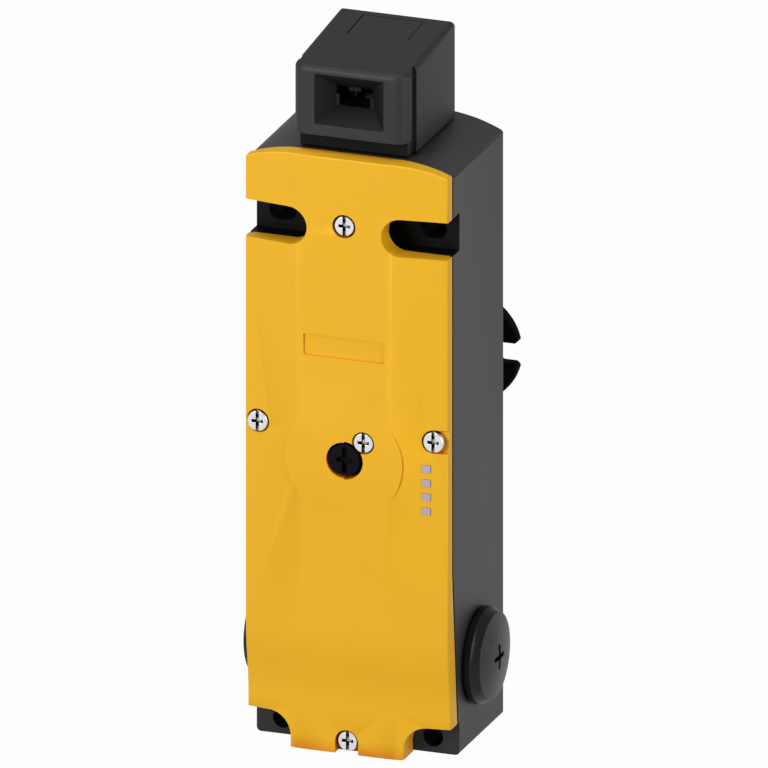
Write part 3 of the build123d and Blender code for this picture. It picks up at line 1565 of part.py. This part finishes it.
with BuildPart() as terminal_screws:
    with BuildSketch(Plane.XZ.offset(terminal_depth - terminal_cell_depth)):
        with Locations((0, (terminal_low + terminal_high) / 2)):
            with GridLocations(terminal_pitch, 0, terminal_count, 1):
                Circle(terminal_screw_head)
    extrude(amount=terminal_screw_head_height)
    with BuildSketch(Plane.XZ.offset(terminal_depth - terminal_cell_depth)):
        with Locations((0, (terminal_low + terminal_high) / 2)):
            with GridLocations(terminal_pitch, 0, terminal_count, 1):
                Circle(screw_radius)
    extrude(amount=-terminal_screw_length)
terminal_screws.part.label = "terminal_screws"
export_step(terminal_screws.part, "parts/terminal_screws.step")
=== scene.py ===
import math

import bmesh
import bpy
from mathutils import Matrix, Vector


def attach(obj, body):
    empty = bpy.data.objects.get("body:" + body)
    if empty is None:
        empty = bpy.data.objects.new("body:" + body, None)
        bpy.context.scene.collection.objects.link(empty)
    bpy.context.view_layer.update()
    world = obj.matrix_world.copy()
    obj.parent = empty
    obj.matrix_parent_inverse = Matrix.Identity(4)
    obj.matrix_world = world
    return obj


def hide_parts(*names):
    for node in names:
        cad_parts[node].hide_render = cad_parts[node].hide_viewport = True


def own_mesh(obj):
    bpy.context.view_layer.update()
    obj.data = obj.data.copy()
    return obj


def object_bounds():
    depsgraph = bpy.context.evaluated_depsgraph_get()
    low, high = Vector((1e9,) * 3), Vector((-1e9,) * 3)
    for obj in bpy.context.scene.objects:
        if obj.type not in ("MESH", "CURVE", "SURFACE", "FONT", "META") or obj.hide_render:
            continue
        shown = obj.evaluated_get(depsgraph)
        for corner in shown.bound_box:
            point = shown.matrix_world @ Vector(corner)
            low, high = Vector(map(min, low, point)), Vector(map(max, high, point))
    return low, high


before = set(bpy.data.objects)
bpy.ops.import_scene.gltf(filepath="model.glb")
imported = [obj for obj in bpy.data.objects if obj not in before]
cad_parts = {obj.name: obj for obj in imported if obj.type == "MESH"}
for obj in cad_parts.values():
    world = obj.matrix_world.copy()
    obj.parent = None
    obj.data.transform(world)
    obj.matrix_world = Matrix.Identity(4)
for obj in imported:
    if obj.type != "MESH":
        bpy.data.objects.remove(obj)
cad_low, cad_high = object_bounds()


# ---------------------------------------------------------------- Housing
# One deep shell of glass-filled black plastic, moulded with a fine matt grain.
# Its edges leave the mould slightly rounded, so they catch a soft line of light.
housing_edge = 0.0003
housing_black = (0.030, 0.026, 0.030, 1)
# Near-black colour painted on the faces inside the upper pockets as shade, and the reach of the
# painted shade in the housing's recesses
pocket_shade_black = (0.006, 0.005, 0.006, 1)
recess_shade_reach = 0.022
pocket_inner, pocket_outer = 0.0095, 0.0269
pocket_front, pocket_floor = -0.044, -0.030
pocket_sill, pocket_lintel = 0.1300, 0.1408


def moulded_skin():
    """Node group: a moulded plastic's mottling, its grain and painted shade that darkens and
    deepens its colour in recesses and crevices.
    """
    cloud_scale = 60
    closed_below, open_above = 0.3, 0.85
    roughness_spread = 0.12
    grain_height = 0.00004
    group = bpy.data.node_groups.new("moulded skin", "ShaderNodeTree")
    put = group.interface.new_socket
    put("Colour", in_out="INPUT", socket_type="NodeSocketColor")
    put("Mottling", in_out="INPUT", socket_type="NodeSocketFloat")
    put("Roughness", in_out="INPUT", socket_type="NodeSocketFloat")
    put("Grain size", in_out="INPUT", socket_type="NodeSocketFloat")
    put("Grain depth", in_out="INPUT", socket_type="NodeSocketFloat")
    put("Crevice shade reach", in_out="INPUT", socket_type="NodeSocketFloat")
    put("Colour", in_out="OUTPUT", socket_type="NodeSocketColor")
    put("Roughness", in_out="OUTPUT", socket_type="NodeSocketFloat")
    put("Normal", in_out="OUTPUT", socket_type="NodeSocketVector")
    node, link = group.nodes.new, group.links.new
    given, result = node("NodeGroupInput"), node("NodeGroupOutput")
    place = node("ShaderNodeTexCoord")

    cloud = node("ShaderNodeTexNoise")
    cloud.inputs["Scale"].default_value = cloud_scale
    cloud.inputs["Detail"].default_value = 3
    link(place.outputs["Object"], cloud.inputs["Vector"])
    shade = node("ShaderNodeMapRange")
    shade.inputs["From Min"].default_value = 0.3
    shade.inputs["From Max"].default_value = 0.7
    shade.inputs["To Min"].default_value = 1
    link(cloud.outputs["Fac"], shade.inputs["Value"])
    darkest = node("ShaderNodeMath")
    darkest.operation = "SUBTRACT"
    darkest.inputs[0].default_value = 1
    link(given.outputs["Mottling"], darkest.inputs[1])
    link(darkest.outputs[0], shade.inputs["To Max"])
    # Painted shade: where ambient occlusion finds nearby surfaces, the colour is darkened towards
    # its own square, standing in for the shade in recesses.
    openness = node("ShaderNodeAmbientOcclusion")
    link(given.outputs["Crevice shade reach"], openness.inputs["Distance"])
    painted_shade = node("ShaderNodeMapRange")
    painted_shade.inputs["From Min"].default_value = closed_below
    painted_shade.inputs["From Max"].default_value = open_above
    link(openness.outputs["AO"], painted_shade.inputs["Value"])
    shaded_colour = node("ShaderNodeVectorMath")
    shaded_colour.operation = "MULTIPLY"
    link(given.outputs["Colour"], shaded_colour.inputs[0])
    link(given.outputs["Colour"], shaded_colour.inputs[1])
    tone = node("ShaderNodeMix")
    tone.data_type = "VECTOR"
    link(painted_shade.outputs["Result"], tone.inputs["Factor"])
    link(shaded_colour.outputs["Vector"], tone.inputs["A"])
    link(given.outputs["Colour"], tone.inputs["B"])
    tint = node("ShaderNodeVectorMath")
    tint.operation = "SCALE"
    link(tone.outputs["Result"], tint.inputs[0])
    link(shade.outputs["Result"], tint.inputs["Scale"])
    link(tint.outputs["Vector"], result.inputs["Colour"])

    grain = node("ShaderNodeTexNoise")
    grain.inputs["Detail"].default_value = 2
    link(place.outputs["Object"], grain.inputs["Vector"])
    link(given.outputs["Grain size"], grain.inputs["Scale"])
    spread = node("ShaderNodeMath")
    spread.operation = "MULTIPLY_ADD"
    spread.inputs[1].default_value = roughness_spread
    link(grain.outputs["Fac"], spread.inputs[0])
    link(given.outputs["Roughness"], spread.inputs[2])
    link(spread.outputs[0], result.inputs["Roughness"])
    bump = node("ShaderNodeBump")
    bump.inputs["Distance"].default_value = grain_height
    link(given.outputs["Grain depth"], bump.inputs["Strength"])
    link(grain.outputs["Fac"], bump.inputs["Height"])
    link(bump.outputs["Normal"], result.inputs["Normal"])
    return group


moulded = moulded_skin()


def moulding(
    name,
    colour,
    mottling=0.06,
    roughness=0.42,
    grain_size=2600,
    grain_depth=0.35,
    specular=0.4,
    crevice_shade=0.0012,
):
    """A moulded plastic or an enamelled casting in one colour."""
    material = bpy.data.materials.new(name)
    material.use_nodes = True
    tree = material.node_tree
    surface = tree.nodes["Principled BSDF"]
    surface.inputs["Specular IOR Level"].default_value = specular
    skin = tree.nodes.new("ShaderNodeGroup")
    skin.node_tree = moulded
    skin.inputs["Colour"].default_value = colour
    skin.inputs["Mottling"].default_value = mottling
    skin.inputs["Roughness"].default_value = roughness
    skin.inputs["Grain size"].default_value = grain_size
    skin.inputs["Grain depth"].default_value = grain_depth
    # Reach of the painted shade that darkens recesses and crevices
    skin.inputs["Crevice shade reach"].default_value = crevice_shade
    tree.links.new(skin.outputs["Colour"], surface.inputs["Base Color"])
    tree.links.new(skin.outputs["Roughness"], surface.inputs["Roughness"])
    tree.links.new(skin.outputs["Normal"], surface.inputs["Normal"])
    return material


def finish_node(name, material):
    """Gives a solid of the frame its material."""
    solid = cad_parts[name]
    solid.data.materials.clear()
    solid.data.materials.append(material)
    return solid


def with_rounded_edges(name, body, edge, material):
    """A copy of a solid with joined faces, whose sharp edges are rounded off."""
    weld_gap = 0.000002
    flat_enough = math.radians(0.4)
    sharp_from = math.radians(32)
    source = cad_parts[name]
    mesh = source.data.copy()
    mesh.materials.clear()
    mesh.materials.append(material)
    work = bmesh.new()
    work.from_mesh(mesh)
    bmesh.ops.remove_doubles(work, verts=work.verts[:], dist=weld_gap)
    bmesh.ops.dissolve_limit(
        work,
        angle_limit=flat_enough,
        verts=work.verts[:],
        edges=work.edges[:],
    )
    work.to_mesh(mesh)
    work.free()
    mesh.shade_smooth()
    mesh.set_sharp_from_angle(angle=sharp_from)
    piece = bpy.data.objects.new(name + "_dressed", mesh)
    bpy.context.scene.collection.objects.link(piece)
    rounding = piece.modifiers.new("rounded edges", "BEVEL")
    rounding.width = edge
    rounding.segments = 2
    rounding.limit_method = "ANGLE"
    rounding.angle_limit = sharp_from
    rounding.harden_normals = True
    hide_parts(name)
    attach(piece, body)
    return piece


def paint_shade_in_box(piece, material, low, high):
    """Gives the faces whose centres lie in a box a darker material, painted shade for a recess
    that lies in shadow.
    """
    piece.data.materials.append(material)
    last = len(piece.data.materials) - 1
    for face in piece.data.polygons:
        if all(a < c < b for a, c, b in zip(low, face.center, high)):
            face.material_index = last


housing_plastic = moulding("black housing plastic", housing_black, crevice_shade=recess_shade_reach)
pocket_shade_plastic = moulding(
    "black pocket shade plastic",
    pocket_shade_black,
    specular=0.12,
    crevice_shade=recess_shade_reach,
)
housing_shell = with_rounded_edges("housing", "housing", housing_edge, housing_plastic)
# Painted shade: the faces inside the two upper pockets get the near-black material
for left, right in ((pocket_inner, pocket_outer), (-pocket_outer, -pocket_inner)):
    paint_shade_in_box(
        housing_shell,
        pocket_shade_plastic,
        (left, pocket_front, pocket_sill),
        (right, pocket_floor, pocket_lintel),
    )


# ------------------------------------------------------------ Front cover
# A thin yellow plastic lid, crowned across its width and stepped near the
# bottom. Its satin face was polished less than its rounded rim.
cover_edge = 0.00015
cover_yellow = (0.87, 0.462, 0.012, 1)

cover_plastic = moulding(
    "yellow cover plastic",
    cover_yellow,
    mottling=0.02,
    roughness=0.4,
    grain_size=1800,
    grain_depth=0.15,
    specular=0.36,
    crevice_shade=0.006,
)
cover = with_rounded_edges("front_cover", "housing", cover_edge, cover_plastic)


# ------------------------------------------------------- Gasket and rings
# Black nitrile rubber with a dull, slightly dusty skin: the flat gasket in
# the seam, the washers of the cable plugs and the rings on the turning shafts.
rubber_black = (0.018, 0.018, 0.018, 1)

rubber = moulding(
    "black rubber",
    rubber_black,
    mottling=0.2,
    roughness=0.68,
    grain_size=900,
    grain_depth=0.5,
)
for ring in ("cover_gasket", "plug_seals", "head_ring", "release_ring", "shaft_seal"):
    finish_node(ring, rubber)


# ----------------------------------------------------------------- Screws
# Zinc-plated steel pan heads with a slot across a shallower cross. They are
# tumbled after plating, so they show a bright skin with fine turning marks.
screw_zinc = (0.80, 0.78, 0.80, 1)
screw_edge = 0.00018


def plated_skin():
    """Node group: fine tool marks in a metal's skin, and painted shade that darkens its slots."""
    mark_height = 0.00002
    slot_shade_reach = 0.0012
    roughness_spread = 0.15
    group = bpy.data.node_groups.new("plated skin", "ShaderNodeTree")
    put = group.interface.new_socket
    put("Colour", in_out="INPUT", socket_type="NodeSocketColor")
    put("Roughness", in_out="INPUT", socket_type="NodeSocketFloat")
    put("Mark size", in_out="INPUT", socket_type="NodeSocketFloat")
    put("Mark depth", in_out="INPUT", socket_type="NodeSocketFloat")
    put("Colour", in_out="OUTPUT", socket_type="NodeSocketColor")
    put("Roughness", in_out="OUTPUT", socket_type="NodeSocketFloat")
    put("Normal", in_out="OUTPUT", socket_type="NodeSocketVector")
    node, link = group.nodes.new, group.links.new
    given, result = node("NodeGroupInput"), node("NodeGroupOutput")
    place = node("ShaderNodeTexCoord")
    marks = node("ShaderNodeTexNoise")
    marks.inputs["Detail"].default_value = 3
    link(place.outputs["Object"], marks.inputs["Vector"])
    link(given.outputs["Mark size"], marks.inputs["Scale"])
    shade = node("ShaderNodeMapRange")
    shade.inputs["To Min"].default_value = 0.88
    shade.inputs["To Max"].default_value = 1.08
    link(marks.outputs["Fac"], shade.inputs["Value"])
    # Painted shade: ambient occlusion darkens the colour almost to black in slots and narrow gaps
    openness = node("ShaderNodeAmbientOcclusion")
    openness.inputs["Distance"].default_value = slot_shade_reach
    painted_shade = node("ShaderNodeMapRange")
    painted_shade.inputs["From Min"].default_value = 0.45
    painted_shade.inputs["From Max"].default_value = 0.85
    painted_shade.inputs["To Min"].default_value = 0.01
    link(openness.outputs["AO"], painted_shade.inputs["Value"])
    both = node("ShaderNodeMath")
    both.operation = "MULTIPLY"
    link(shade.outputs["Result"], both.inputs[0])
    link(painted_shade.outputs["Result"], both.inputs[1])
    tint = node("ShaderNodeVectorMath")
    tint.operation = "SCALE"
    link(given.outputs["Colour"], tint.inputs[0])
    link(both.outputs[0], tint.inputs["Scale"])
    link(tint.outputs["Vector"], result.inputs["Colour"])
    spread = node("ShaderNodeMath")
    spread.operation = "MULTIPLY_ADD"
    spread.inputs[1].default_value = roughness_spread
    link(marks.outputs["Fac"], spread.inputs[0])
    link(given.outputs["Roughness"], spread.inputs[2])
    link(spread.outputs[0], result.inputs["Roughness"])
    bump = node("ShaderNodeBump")
    bump.inputs["Distance"].default_value = mark_height
    link(given.outputs["Mark depth"], bump.inputs["Strength"])
    link(marks.outputs["Fac"], bump.inputs["Height"])
    link(bump.outputs["Normal"], result.inputs["Normal"])
    return group


plated = plated_skin()


def metal(name, colour, roughness=0.3, mark_size=1500, mark_depth=0.3):
    """A bare or plated metal in one colour."""
    material = bpy.data.materials.new(name)
    material.use_nodes = True
    tree = material.node_tree
    surface = tree.nodes["Principled BSDF"]
    surface.inputs["Metallic"].default_value = 1
    skin = tree.nodes.new("ShaderNodeGroup")
    skin.node_tree = plated
    skin.inputs["Colour"].default_value = colour
    skin.inputs["Roughness"].default_value = roughness
    skin.inputs["Mark size"].default_value = mark_size
    skin.inputs["Mark depth"].default_value = mark_depth
    tree.links.new(skin.outputs["Colour"], surface.inputs["Base Color"])
    tree.links.new(skin.outputs["Roughness"], surface.inputs["Roughness"])
    tree.links.new(skin.outputs["Normal"], surface.inputs["Normal"])
    return material


zinc = metal("zinc plating", screw_zinc, roughness=0.32)
for screws in ("cover_screws", "locking_screw"):
    dressed = with_rounded_edges(screws, "housing", screw_edge, zinc)
for screws in (
    "board_screws",
    "head_screws",
    "knob_screw",
    "contact_screws",
    "terminal_screws",
):
    finish_node(screws, zinc)


# ---------------------------------------------------------- Lamp windows
# Clear plastic light guides, ground flat and slightly frosted at the front,
# so the unlit lamps behind them show as a pale grey.
window_grey = (0.50, 0.45, 0.50, 1)

window_plastic = moulding(
    "frosted window",
    window_grey,
    mottling=0.15,
    roughness=0.3,
    grain_size=700,
    grain_depth=0.1,
)
finish_node("light_guides", window_plastic)


# ---------------------------------------------------------- Circuit board
# Green laminate with four clear lamps; it sits behind the windows on two posts.
board_green = (0.02, 0.09, 0.03, 1)
lamp_clear = (0.55, 0.56, 0.52, 1)

finish_node(
    "circuit_board",
    moulding("board laminate", board_green, mottling=0.3, roughness=0.35),
)
finish_node("indicator_lamps", moulding("lamp lens", lamp_clear, roughness=0.2))


# ------------------------------------------------------ Auxiliary release
# A turned black plastic disc with a driver cross, sunk just under the cover.
release_black = (0.005, 0.004, 0.006, 1)
release_edge = 0.0002

release_plastic = moulding("black release plastic", release_black, roughness=0.5, specular=0.06)
release = with_rounded_edges(
    "auxiliary_release",
    "auxiliary_release",
    release_edge,
    release_plastic,
)


# ------------------------------------------------------------ Cable plugs
# Domed black screw plugs in the two side entries, glossier than the housing
# because they are moulded in a polished tool.
plug_black = (0.009, 0.008, 0.0095, 1)
plug_edge = 0.0003

plug_plastic = moulding(
    "black plug plastic",
    plug_black,
    roughness=0.3,
    grain_depth=0.12,
    specular=0.25,
)
plugs = with_rounded_edges("cable_plugs", "housing", plug_edge, plug_plastic)
evened = plugs.modifiers.new("even dome", "WEIGHTED_NORMAL")
evened.keep_sharp = True


# ------------------------------------------------------------------- Head
# A zinc die casting in satin black enamel: body, base and the plug that closes its second entry.
# The casting's edges are tumbled round. The tongue's funnel and the strip under the nose get a
# darker, duller enamel as painted shade.
head_black = (0.016, 0.014, 0.0165, 1)
funnel_shade_black = (0.005, 0.0045, 0.0055, 1)
head_edge = 0.00045
head_shade_reach = 0.014
funnel_low, funnel_high = (-0.0094, -0.0396, 0.1615), (0.0094, -0.030, 0.1757)
neck_low, neck_high = (-0.0160, -0.0397, 0.1540), (0.0160, -0.0355, 0.15905)

enamel = moulding(
    "black enamel",
    head_black,
    mottling=0.05,
    roughness=0.5,
    grain_size=1500,
    grain_depth=0.25,
    specular=0.4,
    crevice_shade=head_shade_reach,
)
shaded_enamel = moulding(
    "black enamel painted shade",
    funnel_shade_black,
    roughness=0.55,
    specular=0.2,
    crevice_shade=head_shade_reach,
)
head = with_rounded_edges("head_housing", "head", head_edge, enamel)
# Painted shade: near-black enamel on the faces in the funnel and under the nose
paint_shade_in_box(head, shaded_enamel, funnel_low, funnel_high)
paint_shade_in_box(head, shaded_enamel, neck_low, neck_high)
finish_node("head_base", enamel)
finish_node("head_plug", enamel)


# ------------------------------------------------------------ Escape knob
# A round black knob with four finger notches, screwed to the end of a long
# bright shaft behind the mounting wall.
knob_black = (0.004, 0.0035, 0.0045, 1)
knob_edge = 0.0004

knob_plastic = moulding("black knob plastic", knob_black, roughness=0.6, specular=0.03)
knob = with_rounded_edges("escape_knob", "escape_release", knob_edge, knob_plastic)


# ---------------------------------------------------------- Turned pieces
# Free-cutting steel, turned bright: the shafts, the lock rod and the axle.
steel_bright = (0.55, 0.54, 0.53, 1)

bright_steel = metal("bright steel", steel_bright, roughness=0.25, mark_size=2500)
for piece in ("escape_shaft", "lock_rod", "cam_axle", "plunger_sleeve"):
    finish_node(piece, bright_steel)


# ---------------------------------------------------------------- Springs
# Hard-drawn spring wire and strip, darker and smoother than turned steel. The two coil springs
# are copied into pieces of their own that hang from the housing's body.
spring_grey = (0.32, 0.32, 0.33, 1)
sleeve_travel = 0.0032
rod_travel = 0.0024

spring_steel = metal("spring steel", spring_grey, roughness=0.3, mark_size=3000)
for piece in ("wheel_spring", "plunger_spring", "armature_spring", "head_clip"):
    finish_node(piece, spring_steel)
for name, joint, travel in (
    ("plunger_spring", "plunger_travel", sleeve_travel),
    ("armature_spring", "lock_travel", rod_travel),
):
    coil = bpy.data.objects.new(name + "_coil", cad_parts[name].data.copy())
    bpy.context.scene.collection.objects.link(coil)
    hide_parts(name)
    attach(coil, "housing")
    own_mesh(coil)


# ------------------------------------------------------------ Bush, brass
# The sleeve's bush is turned from bearing brass, and the contacts are stamped
# from brass strip with a silvery tarnish.
bush_brass = (0.52, 0.34, 0.10, 1)
contact_brass = (0.58, 0.42, 0.17, 1)

finish_node("guide_bush", metal("bearing brass", bush_brass, roughness=0.28))
stamped_brass = metal("contact brass", contact_brass, roughness=0.34)
for piece in (
    "fixed_contacts_left",
    "fixed_contacts_right",
    "contact_bridge_left",
    "contact_bridge_right",
):
    finish_node(piece, stamped_brass)


# --------------------------------------------------------- Solenoid lock
# Plated soft iron for the yoke, pole and armature, round a winding of
# enamelled copper wire on a pale bobbin.
iron_grey = (0.28, 0.28, 0.29, 1)
copper_red = (0.33, 0.075, 0.018, 1)
lacquer_red = (0.10, 0.02, 0.006, 1)

soft_iron = metal("plated iron", iron_grey, roughness=0.42, mark_size=600)
for piece in ("yoke", "pole_piece", "armature"):
    finish_node(piece, soft_iron)


def wound_wire():
    """Layers of fine lacquered wire: bands along Z that shine and dip between turns."""
    material = bpy.data.materials.new("copper winding")
    material.use_nodes = True
    tree = material.node_tree
    surface = tree.nodes["Principled BSDF"]
    surface.inputs["Metallic"].default_value = 0.6
    place = tree.nodes.new("ShaderNodeTexCoord")
    turns = tree.nodes.new("ShaderNodeTexWave")
    turns.bands_direction = "Z"
    turns.inputs["Scale"].default_value = 700
    turns.inputs["Distortion"].default_value = 0.4
    tree.links.new(place.outputs["Object"], turns.inputs["Vector"])
    tint = tree.nodes.new("ShaderNodeMix")
    tint.data_type = "RGBA"
    tint.inputs["A"].default_value = lacquer_red
    tint.inputs["B"].default_value = copper_red
    tree.links.new(turns.outputs["Fac"], tint.inputs["Factor"])
    tree.links.new(tint.outputs["Result"], surface.inputs["Base Color"])
    bump = tree.nodes.new("ShaderNodeBump")
    bump.inputs["Distance"].default_value = 0.0001
    tree.links.new(turns.outputs["Fac"], bump.inputs["Height"])
    tree.links.new(bump.outputs["Normal"], surface.inputs["Normal"])
    surface.inputs["Roughness"].default_value = 0.35
    return material


finish_node("winding", wound_wire())


# ----------------------------------------------------- Pale plastic pieces
# Natural acetal, waxy and off-white: the slides, the release frame, the bobbin
# and the terminal block. The wheel and the contact blocks are dark phenolic.
acetal_white = (0.62, 0.60, 0.54, 1)
phenolic_brown = (0.035, 0.028, 0.025, 1)

acetal = moulding("natural acetal", acetal_white, roughness=0.4, grain_depth=0.15)
for piece in (
    "sleeve_arm",
    "release_frame",
    "bobbin",
    "contact_slide_left",
    "contact_slide_right",
    "terminal_block",
):
    finish_node(piece, acetal)
phenolic = moulding(
    "dark phenolic",
    phenolic_brown,
    mottling=0.25,
    roughness=0.45,
    crevice_shade=0.02,
)
for piece in ("contact_block_left", "contact_block_right", "cam_wheel"):
    finish_node(piece, phenolic)


# ------------------------------------------------------------------ Floor
# A plain white table that only shows the soft shadow under the switch.
floor_white = (0.30, 0.30, 0.30, 1)
floor_half = 3
floor_gap = 0.0002
seen_white = 0.985
mirrored_white = 0.75

work = bmesh.new()
bmesh.ops.create_grid(work, x_segments=1, y_segments=1, size=floor_half)
bmesh.ops.translate(work, verts=work.verts[:], vec=(0, 0, cad_low[2] - floor_gap))
floor_mesh = bpy.data.meshes.new("floor")
work.to_mesh(floor_mesh)
work.free()
floor = bpy.data.objects.new("floor", floor_mesh)
bpy.context.scene.collection.objects.link(floor)

table_white = bpy.data.materials.new("white table")
table_white.use_nodes = True
tree = table_white.node_tree
matt = tree.nodes["Principled BSDF"]
matt.inputs["Base Color"].default_value = floor_white
matt.inputs["Roughness"].default_value = 0.9
matt.inputs["Specular IOR Level"].default_value = 0.1
bright = tree.nodes.new("ShaderNodeEmission")
bright.inputs["Strength"].default_value = 1
rays = tree.nodes.new("ShaderNodeLightPath")
seen = tree.nodes.new("ShaderNodeMath")
seen.operation = "MULTIPLY"
seen.inputs[1].default_value = seen_white
tree.links.new(rays.outputs["Is Camera Ray"], seen.inputs[0])
mirrored = tree.nodes.new("ShaderNodeMath")
mirrored.operation = "MULTIPLY_ADD"
mirrored.inputs[1].default_value = mirrored_white
tree.links.new(rays.outputs["Is Glossy Ray"], mirrored.inputs[0])
tree.links.new(seen.outputs[0], mirrored.inputs[2])
blend = tree.nodes.new("ShaderNodeMixShader")
tree.links.new(mirrored.outputs[0], blend.inputs["Fac"])
tree.links.new(matt.outputs["BSDF"], blend.inputs[1])
tree.links.new(bright.outputs["Emission"], blend.inputs[2])
tree.links.new(blend.outputs["Shader"], tree.nodes["Material Output"].inputs["Surface"])
floor_mesh.materials.append(table_white)


# ----------------------------------------------------------------- Lights
# Three soft boxes: one at the front, a little to the left, a broad one on the
# right that opens up the black side wall, and a weak one overhead. All round is
# an even, dim glow, and only the camera sees it as white.
middle = (0.00217, -0.020, 0.08725)
room_glow = 0.16
mirrored_glow = 0.25


def soft_box(name, place, towards, width, height, power):
    """A rectangular lamp turned towards a point."""
    lamp = bpy.data.lights.new(name, "AREA")
    lamp.shape = "RECTANGLE"
    lamp.size, lamp.size_y, lamp.energy = width, height, power
    holder = bpy.data.objects.new(name, lamp)
    holder.matrix_world = Matrix.Translation(place) @ (
        (Vector(towards) - Vector(place)).to_track_quat("-Z", "Y").to_matrix().to_4x4()
    )
    bpy.context.scene.collection.objects.link(holder)


soft_box("front box", (-0.62, -1.25, 0.62), middle, 0.6, 0.6, 16.2)
soft_box("right box", (1.24, -0.35, 0.31), middle, 0.7, 0.9, 9.0)
soft_box("top box", (-0.10, -0.15, 1.35), middle, 0.6, 0.6, 5.0)

world = bpy.data.worlds.new("studio")
bpy.context.scene.world = world
world.use_nodes = True
tree = world.node_tree
around = tree.nodes["Background"]
around.inputs["Color"].default_value = (1, 1, 1, 1)
white = tree.nodes.new("ShaderNodeBackground")
white.inputs["Color"].default_value = (1, 1, 1, 1)
white.inputs["Strength"].default_value = 1
rays = tree.nodes.new("ShaderNodeLightPath")
glow = tree.nodes.new("ShaderNodeMath")
glow.operation = "MULTIPLY_ADD"
glow.inputs[1].default_value = mirrored_glow
glow.inputs[2].default_value = room_glow
tree.links.new(rays.outputs["Is Glossy Ray"], glow.inputs[0])
tree.links.new(glow.outputs[0], around.inputs["Strength"])
seen = tree.nodes.new("ShaderNodeMath")
seen.operation = "MAXIMUM"
tree.links.new(rays.outputs["Is Camera Ray"], seen.inputs[0])
tree.links.new(rays.outputs["Is Transmission Ray"], seen.inputs[1])
choose = tree.nodes.new("ShaderNodeMixShader")
tree.links.new(seen.outputs[0], choose.inputs["Fac"])
tree.links.new(around.outputs["Background"], choose.inputs[1])
tree.links.new(white.outputs["Background"], choose.inputs[2])
tree.links.new(choose.outputs["Shader"], tree.nodes["World Output"].inputs["Surface"])


# ----------------------------------------------------------------- Camera
# Parallel view, 20 degrees above the horizon and 20 degrees right of the front.
photo_width = 0.19225
camera_turn = math.radians(19.95)
camera_rise = math.radians(20.0)
camera_distance = 1.5

lens = bpy.data.cameras.new("parallel lens")
lens.type = "ORTHO"
lens.ortho_scale = photo_width
camera = bpy.data.objects.new("camera", lens)
bpy.context.scene.collection.objects.link(camera)
outwards = Vector(
    (
        math.sin(camera_turn) * math.cos(camera_rise),
        -math.cos(camera_turn) * math.cos(camera_rise),
        math.sin(camera_rise),
    )
)
camera.matrix_world = Matrix.Translation(Vector(middle) + outwards * camera_distance) @ (
    (-outwards).to_track_quat("-Z", "Y").to_matrix().to_4x4()
)
bpy.context.scene.camera = camera
bpy.context.scene.view_settings.view_transform = "Standard"
